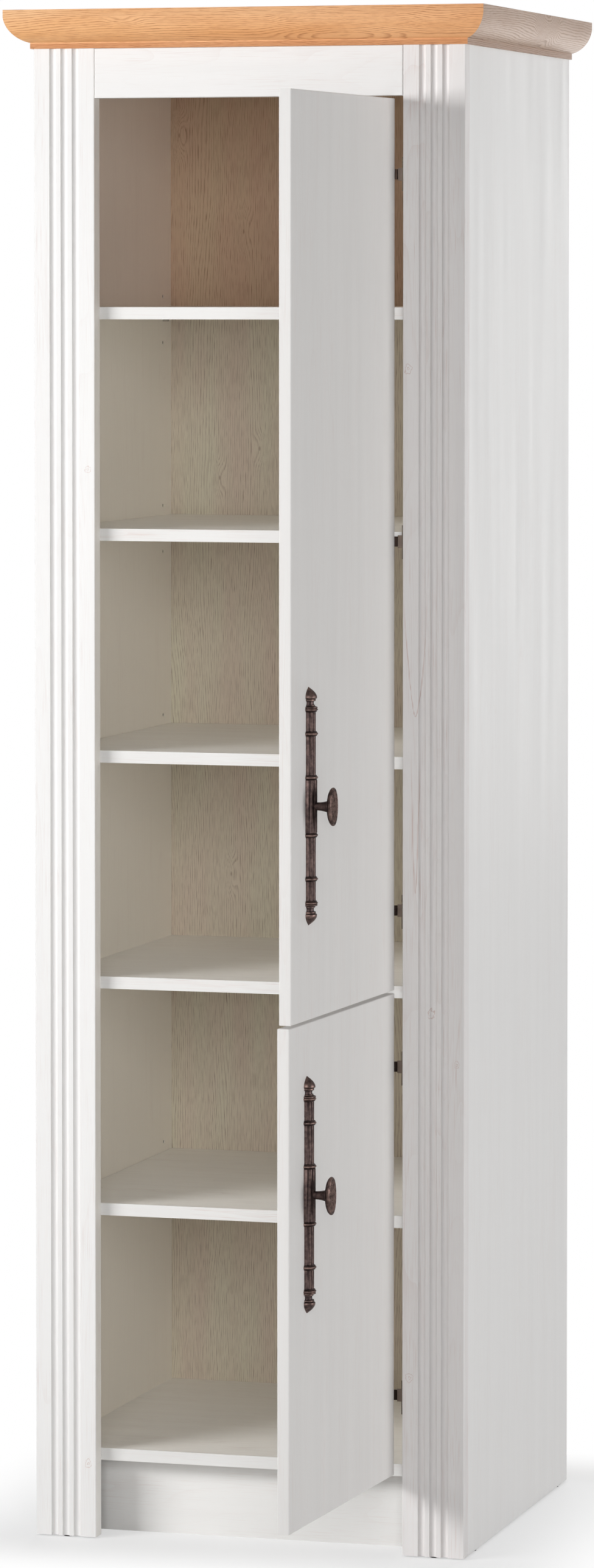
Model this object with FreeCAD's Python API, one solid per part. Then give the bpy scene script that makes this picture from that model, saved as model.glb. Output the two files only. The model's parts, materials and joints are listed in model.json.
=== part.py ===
import FreeCAD, Part
import math
import os

# Tall two-door cabinet with a moulded cornice, fluted pilasters and a recessed plinth.
# Millimetres. Z points up, the front looks along -Y and the doors hang on the right.
# The origin lies on the floor, in the middle of the front plinth's underside.

# Carcass
carcass_width = 584.0
carcass_depth = 560.0
carcass_height = 1960.0
board = 16.0
plinth_height = 101.0
plinth_setback = 65.0
plinth_rear_gap = 14.0
glide_height = 2.0
back_thickness = 3.0
back_inset = 9.0
groove_depth = 8.0
groove_slack = 0.2
edge_radius = 1.2

# Front frame
pilaster_width = 83.0
pilaster_thickness = 22.0
rail_height = 65.0
rail_joint = 0.4
flute_count = 3
flute_width = 9.8
flute_depth = 4.0
flute_pitch = 15.45

# Cornice moulding
cornice_height = 50.0
cornice_overhang = 32.0
cornice_lap = 18.0
cornice_top_band = 10.0
cornice_fillet_height = 8.0
cornice_fillet_overhang = 3.8
cornice_quirk = 1.2
cornice_bulge_share = 0.63
cornice_belly_share = 0.33
corner_block = 30.0

# Shelves, as shares of the clear height over the bottom board
adjustable_level_shares = (0.1779, 0.5052, 0.6650, 0.8240)
fixed_level_share = 0.3421
shelf_side_gap = 0.5
shelf_back_gap = 0.3
pin_radius = 2.5
pin_depth = 8.0
pin_reach = 8.0
pin_setback = 37.0
pin_pitch = 32.0
pin_slack = 0.05

# Doors
door_thickness = 16.0
door_recess = 1.0
door_side_gap = 2.5
door_top_gap = 3.5
door_middle_gap = 4.0
door_split_drop = 5.5
door_bottom_cover = 11.0
door_edge_radius = 1.5
upper_open_angle = 87.4
lower_open_angle = 87.05

# Hinges: the door turns about one upright axis just outside its front edge
axis_inset = 5.6
axis_front = 3.7
hinge_from_top = 97.5
hinge_from_bottom = 102.0
cup_radius = 17.4
cup_depth = 12.5
cup_wall = 0.8
cup_from_edge = 22.0
cup_slack = 0.1
cup_flange = 0.8
flange_overlap = 1.6
flange_height = 62.0
flange_width = 18.0
cup_screw_spacing = 48.0
plate_thickness = 1.9
plate_height = 44.0
plate_margin = 3.0
arm_thickness = 1.7
arm_height = 13.2
arm_tip_overlap = 6.0
arm_gap = 0.8
cover_thickness = 1.1
cover_start = 3.6
cover_end_gap = 6.0
cover_lip = 1.2
cover_lip_thickness = 0.5
hinge_gap = 0.3
link_thickness = 1.3
link_width = 1.6
link_pin_radius = 1.25
link_pin_offset = 11.6
link_pin_depth = 5.7
plate_screw_spacing = 32.0
middle_hinge_share = 0.5024

# Fasteners
dowel_radius = 4.0
dowel_length = 30.0
dowel_bite = 10.0
cam_radius = 7.5
cam_height = 12.5
cam_from_end = 24.0
bolt_radius = 3.0
bolt_bite = 11.0
fastener_slack = 0.1
joint_setback = 60.0
pilaster_dowel_count = 4
cam_offset = 32.0
screw_radius = 1.75
screw_length = 12.0
screw_head_radius = 3.3
screw_head_height = 1.0
nail_radius = 0.8
nail_length = 18.0
nail_head_radius = 2.4
nail_head_height = 0.7
nails_per_row = 5

# Handles: lengths of the turned plate from its middle outwards, with the radius of each
handle_from_edge = 66.0
middle_half_length = 33.0
middle_radius = 11.2
collar_height = 5.7
collar_radius = 12.1
collar_lead = 1.1
inner_rod_length = 48.7
outer_rod_length = 24.3
rod_radius = 9.3
end_collar_height = 6.9
ring_length = 2.0
ring_radius = 8.2
neck_length = 4.4
neck_radius = 7.0
base_ring_length = 3.0
base_ring_radius = 9.3
acorn_length = 14.8
acorn_radius = 10.9
acorn_shoulder_shares = (0.72, 0.57)
reed_groove_radius = 0.8
reed_count = 5
upper_handle_share = 0.2312
lower_handle_share = 0.6595
knob_half_width = 13.5
knob_half_height = 24.0
knob_thickness = 10.0
knob_reach = 25.5
knob_back_shares = (0.62, 0.16)
knob_rim_shares = (0.68, 0.84)
knob_face_shares = (0.62, 0.95)
stem_radius = 5.0
stem_flare = 7.0
handle_screw_radius = 2.0
handle_screw_bite = 5.0
handle_screw_span = 181.0

# Wall brackets
bracket_leg = 28.0
bracket_width = 20.0
bracket_thickness = 2.0
bracket_place = 200.0
wall_hole_radius = 2.75
wall_hole_slack = 1.0

# Small parts
glide_radius = 7.0
glide_nail_radius = 1.0
glide_nail_length = 12.0
glide_from_end = 45.0
bumper_radius = 4.0
bumper_gap = 0.3
bumper_from_edge = 30.0
strip_flange = 16.0
strip_thickness = 1.0
overrun = 5.0
tolerance_share = 1e-5

# Planes and places that follow from the sizes above
side_x = carcass_width / 2
inner_x = side_x - board
front_y = -plinth_setback - board / 2
rear_y = front_y + carcass_depth
frame_y = front_y + pilaster_thickness
back_y = rear_y - back_inset - back_thickness
board_back_y = back_y - groove_slack
opening_x = side_x - pilaster_width
rail_bottom = carcass_height - rail_height
bottom_level = plinth_height + board
clear_height = carcass_height - board - bottom_level
fixed_level = bottom_level + fixed_level_share * clear_height
adjustable_levels = [bottom_level + share * clear_height for share in adjustable_level_shares]
door_hinge_x = opening_x - door_side_gap
door_lead_x = -opening_x + door_side_gap
door_face_y = front_y + door_recess
door_back_y = door_face_y + door_thickness
axis_x = door_hinge_x - axis_inset
axis_y = door_face_y - axis_front
split_level = fixed_level - door_split_drop
upper_door_span = (split_level + door_middle_gap / 2, rail_bottom - door_top_gap)
lower_door_span = (bottom_level - door_bottom_cover, split_level - door_middle_gap / 2)
cup_x = door_hinge_x - cup_from_edge
handle_x = door_lead_x + handle_from_edge

X_AXIS = FreeCAD.Vector(1, 0, 0)
Y_AXIS = FreeCAD.Vector(0, 1, 0)
Z_AXIS = FreeCAD.Vector(0, 0, 1)


def point(x, y, z):
    return FreeCAD.Vector(x, y, z)


def block(x_span, y_span, z_span):
    """A box between two places along each axis."""
    low = point(min(x_span), min(y_span), min(z_span))
    high = point(max(x_span), max(y_span), max(z_span))
    size = high - low
    return Part.makeBox(size.x, size.y, size.z, low)


def rod(start, direction, radius, length):
    return Part.makeCylinder(radius, length, start, direction)


def cut(shape, tools):
    return shape.cut(tools) if tools else shape


def group(solids):
    return Part.makeCompound(solids)


def runs_along(edge, axis):
    first, last = edge.Vertexes[0].Point, edge.Vertexes[-1].Point
    run = last - first
    return abs(abs(run.dot(axis)) - run.Length) < tolerance_share * run.Length


def front_edges(shape, plane_y, axis):
    return [e for e in shape.Edges
            if abs(e.CenterOfMass.y - plane_y) < tolerance_share * carcass_depth and runs_along(e, axis)]


# Carcass joints: each fixed board is held to the sides by dowels, bolts and cams
def board_joint_places():
    return (frame_y + joint_setback, board_back_y - joint_setback)


def fixed_board_levels():
    """Underside of each board that is bolted to the sides, with the side its cams face."""
    return ((plinth_height, -1), (fixed_level - board, -1), (carcass_height - board, 1))


def dowel_solids(slack=0.0):
    solids = []
    for level, face in fixed_board_levels():
        for y in board_joint_places():
            for side in (-1, 1):
                start = point(side * (inner_x + dowel_bite), y, level + board / 2)
                solids.append(rod(start, X_AXIS * -side, dowel_radius + slack, dowel_length))
    return solids


def bolt_place_y(y):
    return y + cam_offset if y < 0 else y - cam_offset


def bolt_solids(slack=0.0):
    solids = []
    reach = bolt_bite + cam_from_end
    for level, face in fixed_board_levels():
        for y in board_joint_places():
            for side in (-1, 1):
                start = point(side * (inner_x + bolt_bite), bolt_place_y(y), level + board / 2)
                solids.append(rod(start, X_AXIS * -side, bolt_radius + slack, reach))
    return solids


def cam_solids(slack=0.0):
    solids = []
    for level, face in fixed_board_levels():
        bottom = level if face < 0 else level + board
        for y in board_joint_places():
            for side in (-1, 1):
                start = point(side * (inner_x - cam_from_end), bolt_place_y(y), bottom)
                solids.append(rod(start, Z_AXIS * -face, cam_radius + slack, cam_height))
    return solids


def pin_places():
    """Where a shelf pin sits: just under each adjustable shelf, near its front and back."""
    rows = (frame_y + pin_setback, board_back_y - pin_setback)
    return [(y, level - board - pin_radius) for level in adjustable_levels for y in rows]


def shelf_pins():
    solids = []
    for y, z in pin_places():
        for side in (-1, 1):
            start = point(side * (inner_x + pin_depth), y, z)
            solids.append(rod(start, X_AXIS * -side, pin_radius, pin_depth + pin_reach))
    return group(solids)


def pin_holes(side):
    holes = []
    for y, z in pin_places():
        for step in (-1, 0, 1):
            start = point(side * (inner_x + pin_depth), y, z + step * pin_pitch)
            holes.append(rod(start, X_AXIS * -side, pin_radius + pin_slack, pin_depth + overrun))
    return holes


def pilaster_dowel_heights():
    pitch = carcass_height / pilaster_dowel_count
    return [pitch * (row + 0.5) for row in range(pilaster_dowel_count)]


def pilaster_dowels(slack=0.0):
    solids = []
    for side in (-1, 1):
        for z in pilaster_dowel_heights():
            start = point(side * (inner_x + board / 2), frame_y - dowel_bite, z)
            solids.append(rod(start, Y_AXIS, dowel_radius + slack, dowel_length))
    return solids


def rail_dowels(slack=0.0):
    solids = []
    for side in (-1, 1):
        for row in (-1, 1):
            z = rail_bottom + rail_height / 2 + row * rail_height / 4
            start = point(side * (opening_x + dowel_length / 2), frame_y - pilaster_thickness / 2, z)
            solids.append(rod(start, X_AXIS * -side, dowel_radius + slack, dowel_length))
    return solids


def glide_places():
    ends = (frame_y + glide_from_end, rear_y - glide_from_end)
    places = [(side * (inner_x + board / 2), y) for side in (-1, 1) for y in ends]
    places += [(side * (side_x - pilaster_width / 2), front_y + pilaster_thickness / 2 + flute_depth / 2)
               for side in (-1, 1)]
    return places


def glide_nails(slack=0.0):
    length = glide_nail_length + glide_height / 2
    return [rod(point(x, y, glide_height / 2), Z_AXIS, glide_nail_radius + slack, length)
            for x, y in glide_places()]


def floor_glides():
    solids = []
    for (x, y), nail in zip(glide_places(), glide_nails()):
        solids.append(rod(point(x, y, 0), Z_AXIS, glide_radius, glide_height).fuse(nail))
    return group(solids)


def side_panel(side):
    panel = block((side * inner_x, side * side_x), (frame_y, rear_y), (glide_height, carcass_height))
    groove = block((side * (inner_x - overrun), side * (inner_x + groove_depth)),
                   (back_y - groove_slack, back_y + back_thickness + groove_slack),
                   (0, carcass_height + overrun))
    tools = [groove] + pin_holes(side) + dowel_solids(fastener_slack) + bolt_solids(fastener_slack)
    tools += pilaster_dowels(fastener_slack) + glide_nails(fastener_slack)
    return cut(panel, tools)


def fixed_board(underside):
    shape = block((-inner_x, inner_x), (frame_y, board_back_y), (underside, underside + board))
    tools = dowel_solids(fastener_slack) + bolt_solids(fastener_slack) + cam_solids(fastener_slack)
    tools += nail_holes() + bracket_screw_holes() + cornice_screw_holes()
    return cut(shape, tools)


def adjustable_shelf(level):
    edge = inner_x - shelf_side_gap
    return block((-edge, edge), (frame_y, board_back_y - shelf_back_gap), (level - board, level))


def plinth_front():
    face = front_y + plinth_setback
    return block((-inner_x, inner_x), (face, face + board), (0, plinth_height))


def plinth_rear():
    face = board_back_y - plinth_rear_gap
    return block((-inner_x, inner_x), (face - board, face), (glide_height, plinth_height))


# Back: two thin panels in the side grooves, joined behind the fixed shelf
def back_joint():
    return fixed_level - board / 2


def back_panel(z_span):
    edge = inner_x + groove_depth - groove_slack
    panel = block((-edge, edge), (back_y, back_y + back_thickness), z_span)
    return cut(panel, nail_holes() + wall_holes(wall_hole_radius + wall_hole_slack))


def back_joint_strip():
    rear = back_y + back_thickness
    web = block((-inner_x, inner_x), (back_y, rear),
                (back_joint() - strip_thickness / 2, back_joint() + strip_thickness / 2))
    flange = block((-inner_x, inner_x), (rear, rear + strip_thickness),
                   (back_joint() - strip_flange / 2, back_joint() + strip_flange / 2))
    return web.fuse(flange).removeSplitter()


def nail_places():
    rows = (plinth_height + board / 2, carcass_height - board / 2)
    step = 2 * inner_x / nails_per_row
    return [(-inner_x + step * (column + 0.5), z) for z in rows for column in range(nails_per_row)]


def nail_holes():
    start_y = back_y + back_thickness - nail_length
    return [rod(point(x, start_y, z), Y_AXIS, nail_radius + fastener_slack, nail_length + overrun)
            for x, z in nail_places()]


def back_nails():
    rear = back_y + back_thickness
    solids = []
    for x, z in nail_places():
        shank = rod(point(x, rear - nail_length, z), Y_AXIS, nail_radius, nail_length)
        head = rod(point(x, rear, z), Y_AXIS, nail_head_radius, nail_head_height)
        solids.append(shank.fuse(head))
    return group(solids)


# Front frame
def flute_cutter(x):
    radius = (flute_width ** 2 / 4 + flute_depth ** 2) / (2 * flute_depth)
    start = point(x, front_y + flute_depth - radius, -overrun)
    return rod(start, Z_AXIS, radius, carcass_height + 2 * overrun)


def pilaster(side):
    post = block((side * opening_x, side * side_x), (front_y, frame_y), (glide_height, carcass_height))
    post = post.makeFillet(edge_radius, front_edges(post, front_y, Z_AXIS))
    middle = side * (side_x - pilaster_width / 2)
    first = middle - flute_pitch * (flute_count - 1) / 2
    tools = [flute_cutter(first + flute_pitch * row) for row in range(flute_count)]
    tools += pilaster_dowels(fastener_slack) + rail_dowels(fastener_slack) + glide_nails(fastener_slack)
    if side > 0:
        tools += plate_screw_holes()
    return cut(post, tools)


def frieze_rail():
    edge = opening_x - rail_joint
    rail = block((-edge, edge), (front_y, frame_y), (rail_bottom, carcass_height))
    edges = front_edges(rail, front_y, X_AXIS) + front_edges(rail, front_y, Z_AXIS)
    rail = rail.makeFillet(edge_radius, edges)
    return cut(rail, rail_dowels(fastener_slack))


# Cornice: three mitred lengths of moulding, a rear rail and four corner blocks
def cornice_section():
    """Face across the moulding: x runs outwards from the carcass side, z upwards from its top."""
    step = cornice_fillet_overhang
    belly_start = step + cornice_quirk
    belly_top = cornice_height - cornice_top_band
    belly_middle = (belly_start + (cornice_overhang - belly_start) * cornice_bulge_share,
                    cornice_fillet_height + (belly_top - cornice_fillet_height) * cornice_belly_share)
    corners = [(-cornice_lap, 0), (step, 0), (step, cornice_fillet_height),
               (belly_start, cornice_fillet_height)]
    places = [point(x, 0, z) for x, z in corners]
    belly_end = point(cornice_overhang, 0, belly_top)
    top = [belly_end, point(cornice_overhang, 0, cornice_height),
           point(-cornice_lap, 0, cornice_height), places[0]]
    edges = [Part.LineSegment(a, b).toShape() for a, b in zip(places, places[1:])]
    edges.append(Part.Arc(places[-1], point(belly_middle[0], 0, belly_middle[1]), belly_end).toShape())
    edges += [Part.LineSegment(a, b).toShape() for a, b in zip(top, top[1:])]
    return Part.Face(Part.Wire(edges))


def plan_prism(corners):
    """Upright prism over a plan outline, used to mitre a length of moulding."""
    places = [point(x, y, carcass_height - overrun) for x, y in corners]
    outline = Part.makePolygon(places + places[:1])
    return Part.Face(outline).extrude(point(0, 0, cornice_height + 2 * overrun))


def cornice_side(side):
    length = carcass_depth + cornice_overhang + overrun
    moulding = cornice_section().extrude(point(0, length, 0))
    moulding.translate(point(side_x, rear_y - length, carcass_height))
    out_x, in_x = side_x + cornice_overhang, side_x - cornice_lap
    plan = plan_prism([(out_x, front_y - cornice_overhang), (out_x, rear_y), (in_x, rear_y),
                       (in_x, front_y + cornice_lap)])
    moulding = moulding.common(plan)
    return moulding if side > 0 else moulding.mirror(point(0, 0, 0), X_AXIS)


def cornice_front():
    length = carcass_width + 2 * cornice_overhang
    moulding = cornice_section().extrude(point(0, length, 0))
    moulding.rotate(point(0, 0, 0), Z_AXIS, -90)
    moulding.translate(point(-length / 2, front_y, carcass_height))
    out_x, in_x = side_x + cornice_overhang, side_x - cornice_lap
    plan = plan_prism([(-out_x, front_y - cornice_overhang), (out_x, front_y - cornice_overhang),
                       (in_x, front_y + cornice_lap), (-in_x, front_y + cornice_lap)])
    return moulding.common(plan)


def cornice_rear_rail():
    edge = side_x - cornice_lap
    return block((-edge, edge), (rear_y - board, rear_y),
                 (carcass_height, carcass_height + cornice_height))


def block_places():
    edge = side_x - cornice_lap - corner_block
    return [(side * edge, y) for side in (-1, 1)
            for y in (front_y + cornice_lap, rear_y - board - corner_block)]


def cornice_blocks():
    solids = []
    for x, y in block_places():
        outer = x + math.copysign(corner_block, x)
        solids.append(block((x, outer), (y, y + corner_block),
                            (carcass_height, carcass_height + corner_block)))
    return group([cut(solid, cornice_screw_holes()) for solid in solids])


def cornice_screw_places():
    return [(x + math.copysign(corner_block, x) / 2, y + corner_block / 2) for x, y in block_places()]


def cornice_screw_start():
    return carcass_height - board


def cornice_screw_length():
    return board + corner_block / 2


def cornice_screw_holes():
    """Holes for the screws that come up through the top panel, with a seat for each head."""
    holes = []
    for x, y in cornice_screw_places():
        start = point(x, y, cornice_screw_start())
        holes.append(rod(start, Z_AXIS, screw_radius + fastener_slack, cornice_screw_length()))
        holes.append(rod(start, Z_AXIS, screw_head_radius + fastener_slack, screw_head_height))
    return holes


def screw(start, direction, radius, length, head_radius, head_height):
    head = rod(start, direction, head_radius, head_height)
    return head.fuse(rod(start, direction, radius, length))


def cornice_screws():
    return group([screw(point(x, y, cornice_screw_start()), Z_AXIS, screw_radius,
                        cornice_screw_length() - fastener_slack, screw_head_radius, screw_head_height)
                  for x, y in cornice_screw_places()])


# Wall brackets under the top panel, against the back
def bracket_sides():
    return (-bracket_place, bracket_place)


def wall_hole_level():
    return carcass_height - board - bracket_leg / 2


def wall_holes(radius):
    start_y = back_y - bracket_leg
    return [rod(point(x, start_y, wall_hole_level()), Y_AXIS, radius, 2 * bracket_leg)
            for x in bracket_sides()]


def bracket_screw_places():
    rear = board_back_y
    return [(x, rear - bracket_leg / 2) for x in bracket_sides()]


def bracket_screw_holes():
    start_z = carcass_height - board
    return [rod(point(x, y, start_z), Z_AXIS, screw_radius + fastener_slack, screw_length)
            for x, y in bracket_screw_places()]


def wall_brackets():
    under = carcass_height - board
    solids = []
    for x in bracket_sides():
        span = (x - bracket_width / 2, x + bracket_width / 2)
        flat = block(span, (board_back_y - bracket_leg, board_back_y),
                     (under - bracket_thickness, under))
        upright = block(span, (board_back_y - bracket_thickness, board_back_y),
                        (under - bracket_leg, under))
        solids.append(flat.fuse(upright).removeSplitter())
    holes = wall_holes(wall_hole_radius)
    holes += [rod(point(x, y, under - overrun), Z_AXIS, screw_radius + fastener_slack, 2 * overrun)
              for x, y in bracket_screw_places()]
    return group([cut(solid, holes) for solid in solids])


def bracket_screws():
    start_z = carcass_height - board - bracket_thickness - screw_head_height
    solids = []
    for x, y in bracket_screw_places():
        start = point(x, y, start_z)
        solids.append(screw(start, Z_AXIS, screw_radius, screw_length, screw_head_radius,
                            screw_head_height))
    return group(solids)


# Hinges, drawn with the doors closed
def hinge_levels(span):
    low, high = span[0] + hinge_from_bottom, span[1] - hinge_from_top
    middle = low + middle_hinge_share * (high - low)
    return (low, middle, high) if span == upper_door_span else (low, high)


def all_hinge_levels():
    return hinge_levels(lower_door_span) + hinge_levels(upper_door_span)


def plate_middle_y():
    return (front_y + plate_margin + arm_rear_y()) / 2


def arm_rear_y():
    return frame_y - arm_gap


def plate_screw_holes():
    holes = []
    for z in all_hinge_levels():
        for row in (-1, 1):
            start = point(opening_x - plate_thickness - overrun, plate_middle_y(),
                          z + row * plate_screw_spacing / 2)
            holes.append(rod(start, X_AXIS, screw_radius + fastener_slack,
                             screw_length + overrun))
    return holes


def swing_radius():
    """Largest radius about the hinge axis that clears the front edges of the boards."""
    return frame_y - axis_y - hinge_gap


def swing_band(z_span, growth=0.0):
    """Ring about the hinge axis, in which the curved arm and the links run past each other."""
    low, high = min(z_span), max(z_span)
    base = point(axis_x, axis_y, low)
    outer = rod(base, Z_AXIS, swing_radius() + growth, high - low)
    return outer.cut(rod(base, Z_AXIS, swing_radius() - link_width - growth, high - low))


def link_spans(z, growth=0.0):
    """Heights of the two links, which lie just over and just under the arm."""
    low = arm_height / 2 + hinge_gap
    return [(z + row * (low - growth), z + row * (low + link_thickness + growth)) for row in (-1, 1)]


def cup_floor_y():
    return door_back_y - cup_depth + cup_wall


def hinge_arm(z):
    """Pressed plate on the pilaster's inner edge, with an arm that curves into the cup."""
    plate = block((opening_x - plate_thickness, opening_x), (front_y + plate_margin, arm_rear_y()),
                  (z - plate_height / 2, z + plate_height / 2))
    arm_span = (z - arm_height / 2, z + arm_height / 2)
    arm = block((cup_x - arm_tip_overlap, opening_x), (arm_rear_y() - arm_thickness, arm_rear_y()),
                arm_span)
    curve = swing_band(arm_span).common(block((axis_x - swing_radius(), axis_x),
                                              (cup_floor_y() + hinge_gap, frame_y), arm_span))
    paths = [swing_band(span, hinge_gap) for span in link_spans(z, hinge_gap)]
    return cut(plate.fuse([arm, curve]).removeSplitter(), plate_screw_holes() + paths)


def hinge_arms(span):
    return group([hinge_arm(z) for z in hinge_levels(span)])


def arm_cover(z):
    """Dark cap over the arm, with two thin lips that run on to the plate."""
    rear = arm_rear_y() - arm_thickness
    front = rear - cover_thickness
    start_x, end_x = axis_x - cover_start, opening_x - cover_end_gap
    half = arm_height / 2 + hinge_gap + link_thickness
    cap = block((start_x, end_x), (front, rear), (z - half, z + half))
    lips = [block((start_x, opening_x - plate_thickness), (front, front + cover_lip_thickness),
                  (z + row * half, z + row * (half - cover_lip))) for row in (-1, 1)]
    paths = [swing_band(span, hinge_gap) for span in link_spans(z, hinge_gap)]
    return cut(cap.fuse(lips).removeSplitter(), paths)


def arm_covers():
    return group([arm_cover(z) for z in all_hinge_levels()])


def plate_screws():
    solids = []
    for z in all_hinge_levels():
        for row in (-1, 1):
            start = point(opening_x - plate_thickness, plate_middle_y(), z + row * plate_screw_spacing / 2)
            solids.append(rod(start, X_AXIS, screw_radius, screw_length - plate_thickness))
    return group(solids)


def cup_pocket(z, slack):
    start = point(cup_x, door_back_y - cup_depth - slack, z)
    return rod(start, Y_AXIS, cup_radius + slack, cup_depth + slack)


def cup_screw_places(span):
    return [(cup_x, z + row * cup_screw_spacing / 2) for z in hinge_levels(span) for row in (-1, 1)]


def cup_screw_holes(span):
    start_y = door_back_y + cup_flange - screw_length
    return [rod(point(x, start_y, z), Y_AXIS, screw_radius + fastener_slack, screw_length)
            for x, z in cup_screw_places(span)]


def hinge_links(z):
    """Two curved links on a cross pin inside the cup."""
    pin_x, pin_y = cup_x - link_pin_offset, door_back_y - link_pin_depth
    reach = math.sqrt((cup_radius - cup_wall / 2) ** 2 - link_pin_offset ** 2)
    solids = [rod(point(pin_x, pin_y, z - reach), Z_AXIS, link_pin_radius, 2 * reach)]
    lug_end_x = axis_x - math.sqrt(swing_radius() ** 2 - (pin_y - axis_y + link_pin_radius) ** 2)
    for span in link_spans(z):
        low_y = pin_y - link_pin_radius
        curve = swing_band(span).common(block((axis_x - swing_radius(), opening_x - hinge_gap),
                                              (low_y, frame_y), span))
        lug = block((pin_x, lug_end_x + link_width / 2), (low_y, low_y + 2 * link_pin_radius), span)
        solids += [curve, lug]
    return solids


def hinge_cup(z, span):
    cup = cup_pocket(z, 0)
    ring = rod(point(cup_x, door_back_y, z), Y_AXIS, cup_radius + flange_overlap, cup_flange)
    bar = block((cup_x - flange_width / 2, cup_x + flange_width / 2),
                (door_back_y, door_back_y + cup_flange),
                (z - flange_height / 2, z + flange_height / 2))
    body = cup.fuse([ring, bar]).removeSplitter()
    hollow = rod(point(cup_x, cup_floor_y(), z), Y_AXIS, cup_radius - cup_wall, cup_depth + cup_flange)
    seats = [rod(point(x, door_back_y, level), Y_AXIS, screw_head_radius + fastener_slack, cup_flange)
             for x, level in cup_screw_places(span)]
    return cut(body, [hollow] + seats).fuse(hinge_links(z)).removeSplitter()


def hinge_cups(span):
    return group([hinge_cup(z, span) for z in hinge_levels(span)])


def cup_screws(span):
    solids = []
    for x, z in cup_screw_places(span):
        start = point(x, door_back_y + cup_flange, z)
        solids.append(screw(start, Y_AXIS * -1, screw_radius, screw_length - fastener_slack,
                            screw_head_radius, cup_flange))
    return group(solids)


# Doors
def handle_level(span, share):
    return span[0] + share * (span[1] - span[0])


def handle_screw_places(level):
    return [(handle_x, level + row * handle_screw_span / 2) for row in (-1, 1)]


def handle_screw_holes(level, radius):
    start_y = door_face_y - handle_screw_bite
    return [rod(point(x, start_y, z), Y_AXIS, radius, handle_screw_bite + door_thickness + overrun)
            for x, z in handle_screw_places(level)]


def door(span, level):
    slab = block((door_lead_x, door_hinge_x), (door_face_y, door_back_y), span)
    edges = []
    for plane in (door_face_y, door_back_y):
        edges += front_edges(slab, plane, Z_AXIS) + front_edges(slab, plane, X_AXIS)
    slab = slab.makeFillet(door_edge_radius, edges)
    pockets = [cup_pocket(z, cup_slack) for z in hinge_levels(span)]
    tools = pockets + cup_screw_holes(span)
    tools += handle_screw_holes(level, handle_screw_radius + fastener_slack)
    return cut(slab, tools)


def bumper_levels(span):
    """Bumpers meet the front edges of the boards behind this door."""
    lowest = span[0] + door_edge_radius + bumper_radius
    shelves = [level - board / 2 for level in adjustable_levels]
    return [lowest] + [z for z in shelves if span[0] < z < span[1]]


def door_bumpers(span):
    x = door_lead_x + bumper_from_edge
    thickness = frame_y - door_back_y - bumper_gap
    return group([rod(point(x, door_back_y, z), Y_AXIS, bumper_radius, thickness)
                  for z in bumper_levels(span)])


# Handles: a reeded half-round back plate with collars and acorn ends, and an oval knob
def collar_rows(start, length, after):
    """Rounded collar from one height on, ending on the radius of what follows it."""
    end = start + length
    return [(collar_radius - collar_lead, start), (collar_radius, start + collar_lead),
            (collar_radius, end - collar_lead), (collar_radius - collar_lead, end), (after, end)]


def reeded_spans():
    """Reeded lengths above the middle of the plate, with the radius of each."""
    inner_start = middle_half_length + collar_height
    outer_start = inner_start + inner_rod_length + collar_height
    return [(-middle_half_length, middle_half_length, middle_radius),
            (inner_start, inner_start + inner_rod_length, rod_radius),
            (outer_start, outer_start + outer_rod_length, rod_radius)]


def half_outline():
    """Radius and height of each corner of the turned plate, from its middle to the acorn."""
    spans = reeded_spans()
    rows = [(middle_radius, middle_half_length)]
    rows += collar_rows(middle_half_length, collar_height, rod_radius)
    rows += [(rod_radius, spans[1][1])] + collar_rows(spans[1][1], collar_height, rod_radius)
    rows += [(rod_radius, spans[2][1])] + collar_rows(spans[2][1], end_collar_height, ring_radius)
    height = spans[2][1] + end_collar_height
    for radius, length, after in ((ring_radius, ring_length, neck_radius),
                                  (neck_radius, neck_length, base_ring_radius),
                                  (base_ring_radius, base_ring_length, acorn_radius)):
        height += length
        rows += [(radius, height), (after, height)]
    return rows


def handle_outline():
    """Closed half face of the turned plate, standing on the XZ plane."""
    rows = half_outline()
    base = rows[-1][1]
    shoulder = (acorn_radius * acorn_shoulder_shares[0], base + acorn_length * acorn_shoulder_shares[1])
    corners = [point(-radius, 0, -height) for radius, height in reversed(rows)]
    corners += [point(-radius, 0, height) for radius, height in rows]
    tips = [point(0, 0, -base - acorn_length), point(0, 0, base + acorn_length)]
    edges = [Part.Arc(tips[0], point(-shoulder[0], 0, -shoulder[1]), corners[0]).toShape()]
    edges += [Part.LineSegment(a, b).toShape() for a, b in zip(corners, corners[1:])]
    edges.append(Part.Arc(corners[-1], point(-shoulder[0], 0, shoulder[1]), tips[1]).toShape())
    edges.append(Part.LineSegment(tips[1], tips[0]).toShape())
    return Part.Face(Part.Wire(edges))


def reed_cutters():
    spans = reeded_spans()
    spans += [(-end, -start, radius) for start, end, radius in spans[1:]]
    cutters = []
    for low, high, radius in spans:
        for row in range(1, reed_count + 1):
            angle = math.pi * row / (reed_count + 1)
            start = point(radius * math.cos(angle), -radius * math.sin(angle), low)
            cutters.append(rod(start, Z_AXIS, reed_groove_radius, high - low))
    return cutters


def handle_plate(level):
    plate = handle_outline().revolve(point(0, 0, 0), Z_AXIS, 180).cut(reed_cutters())
    plate.translate(point(handle_x, door_face_y, level))
    return cut(plate, handle_screw_holes(level, handle_screw_radius + fastener_slack))


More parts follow.
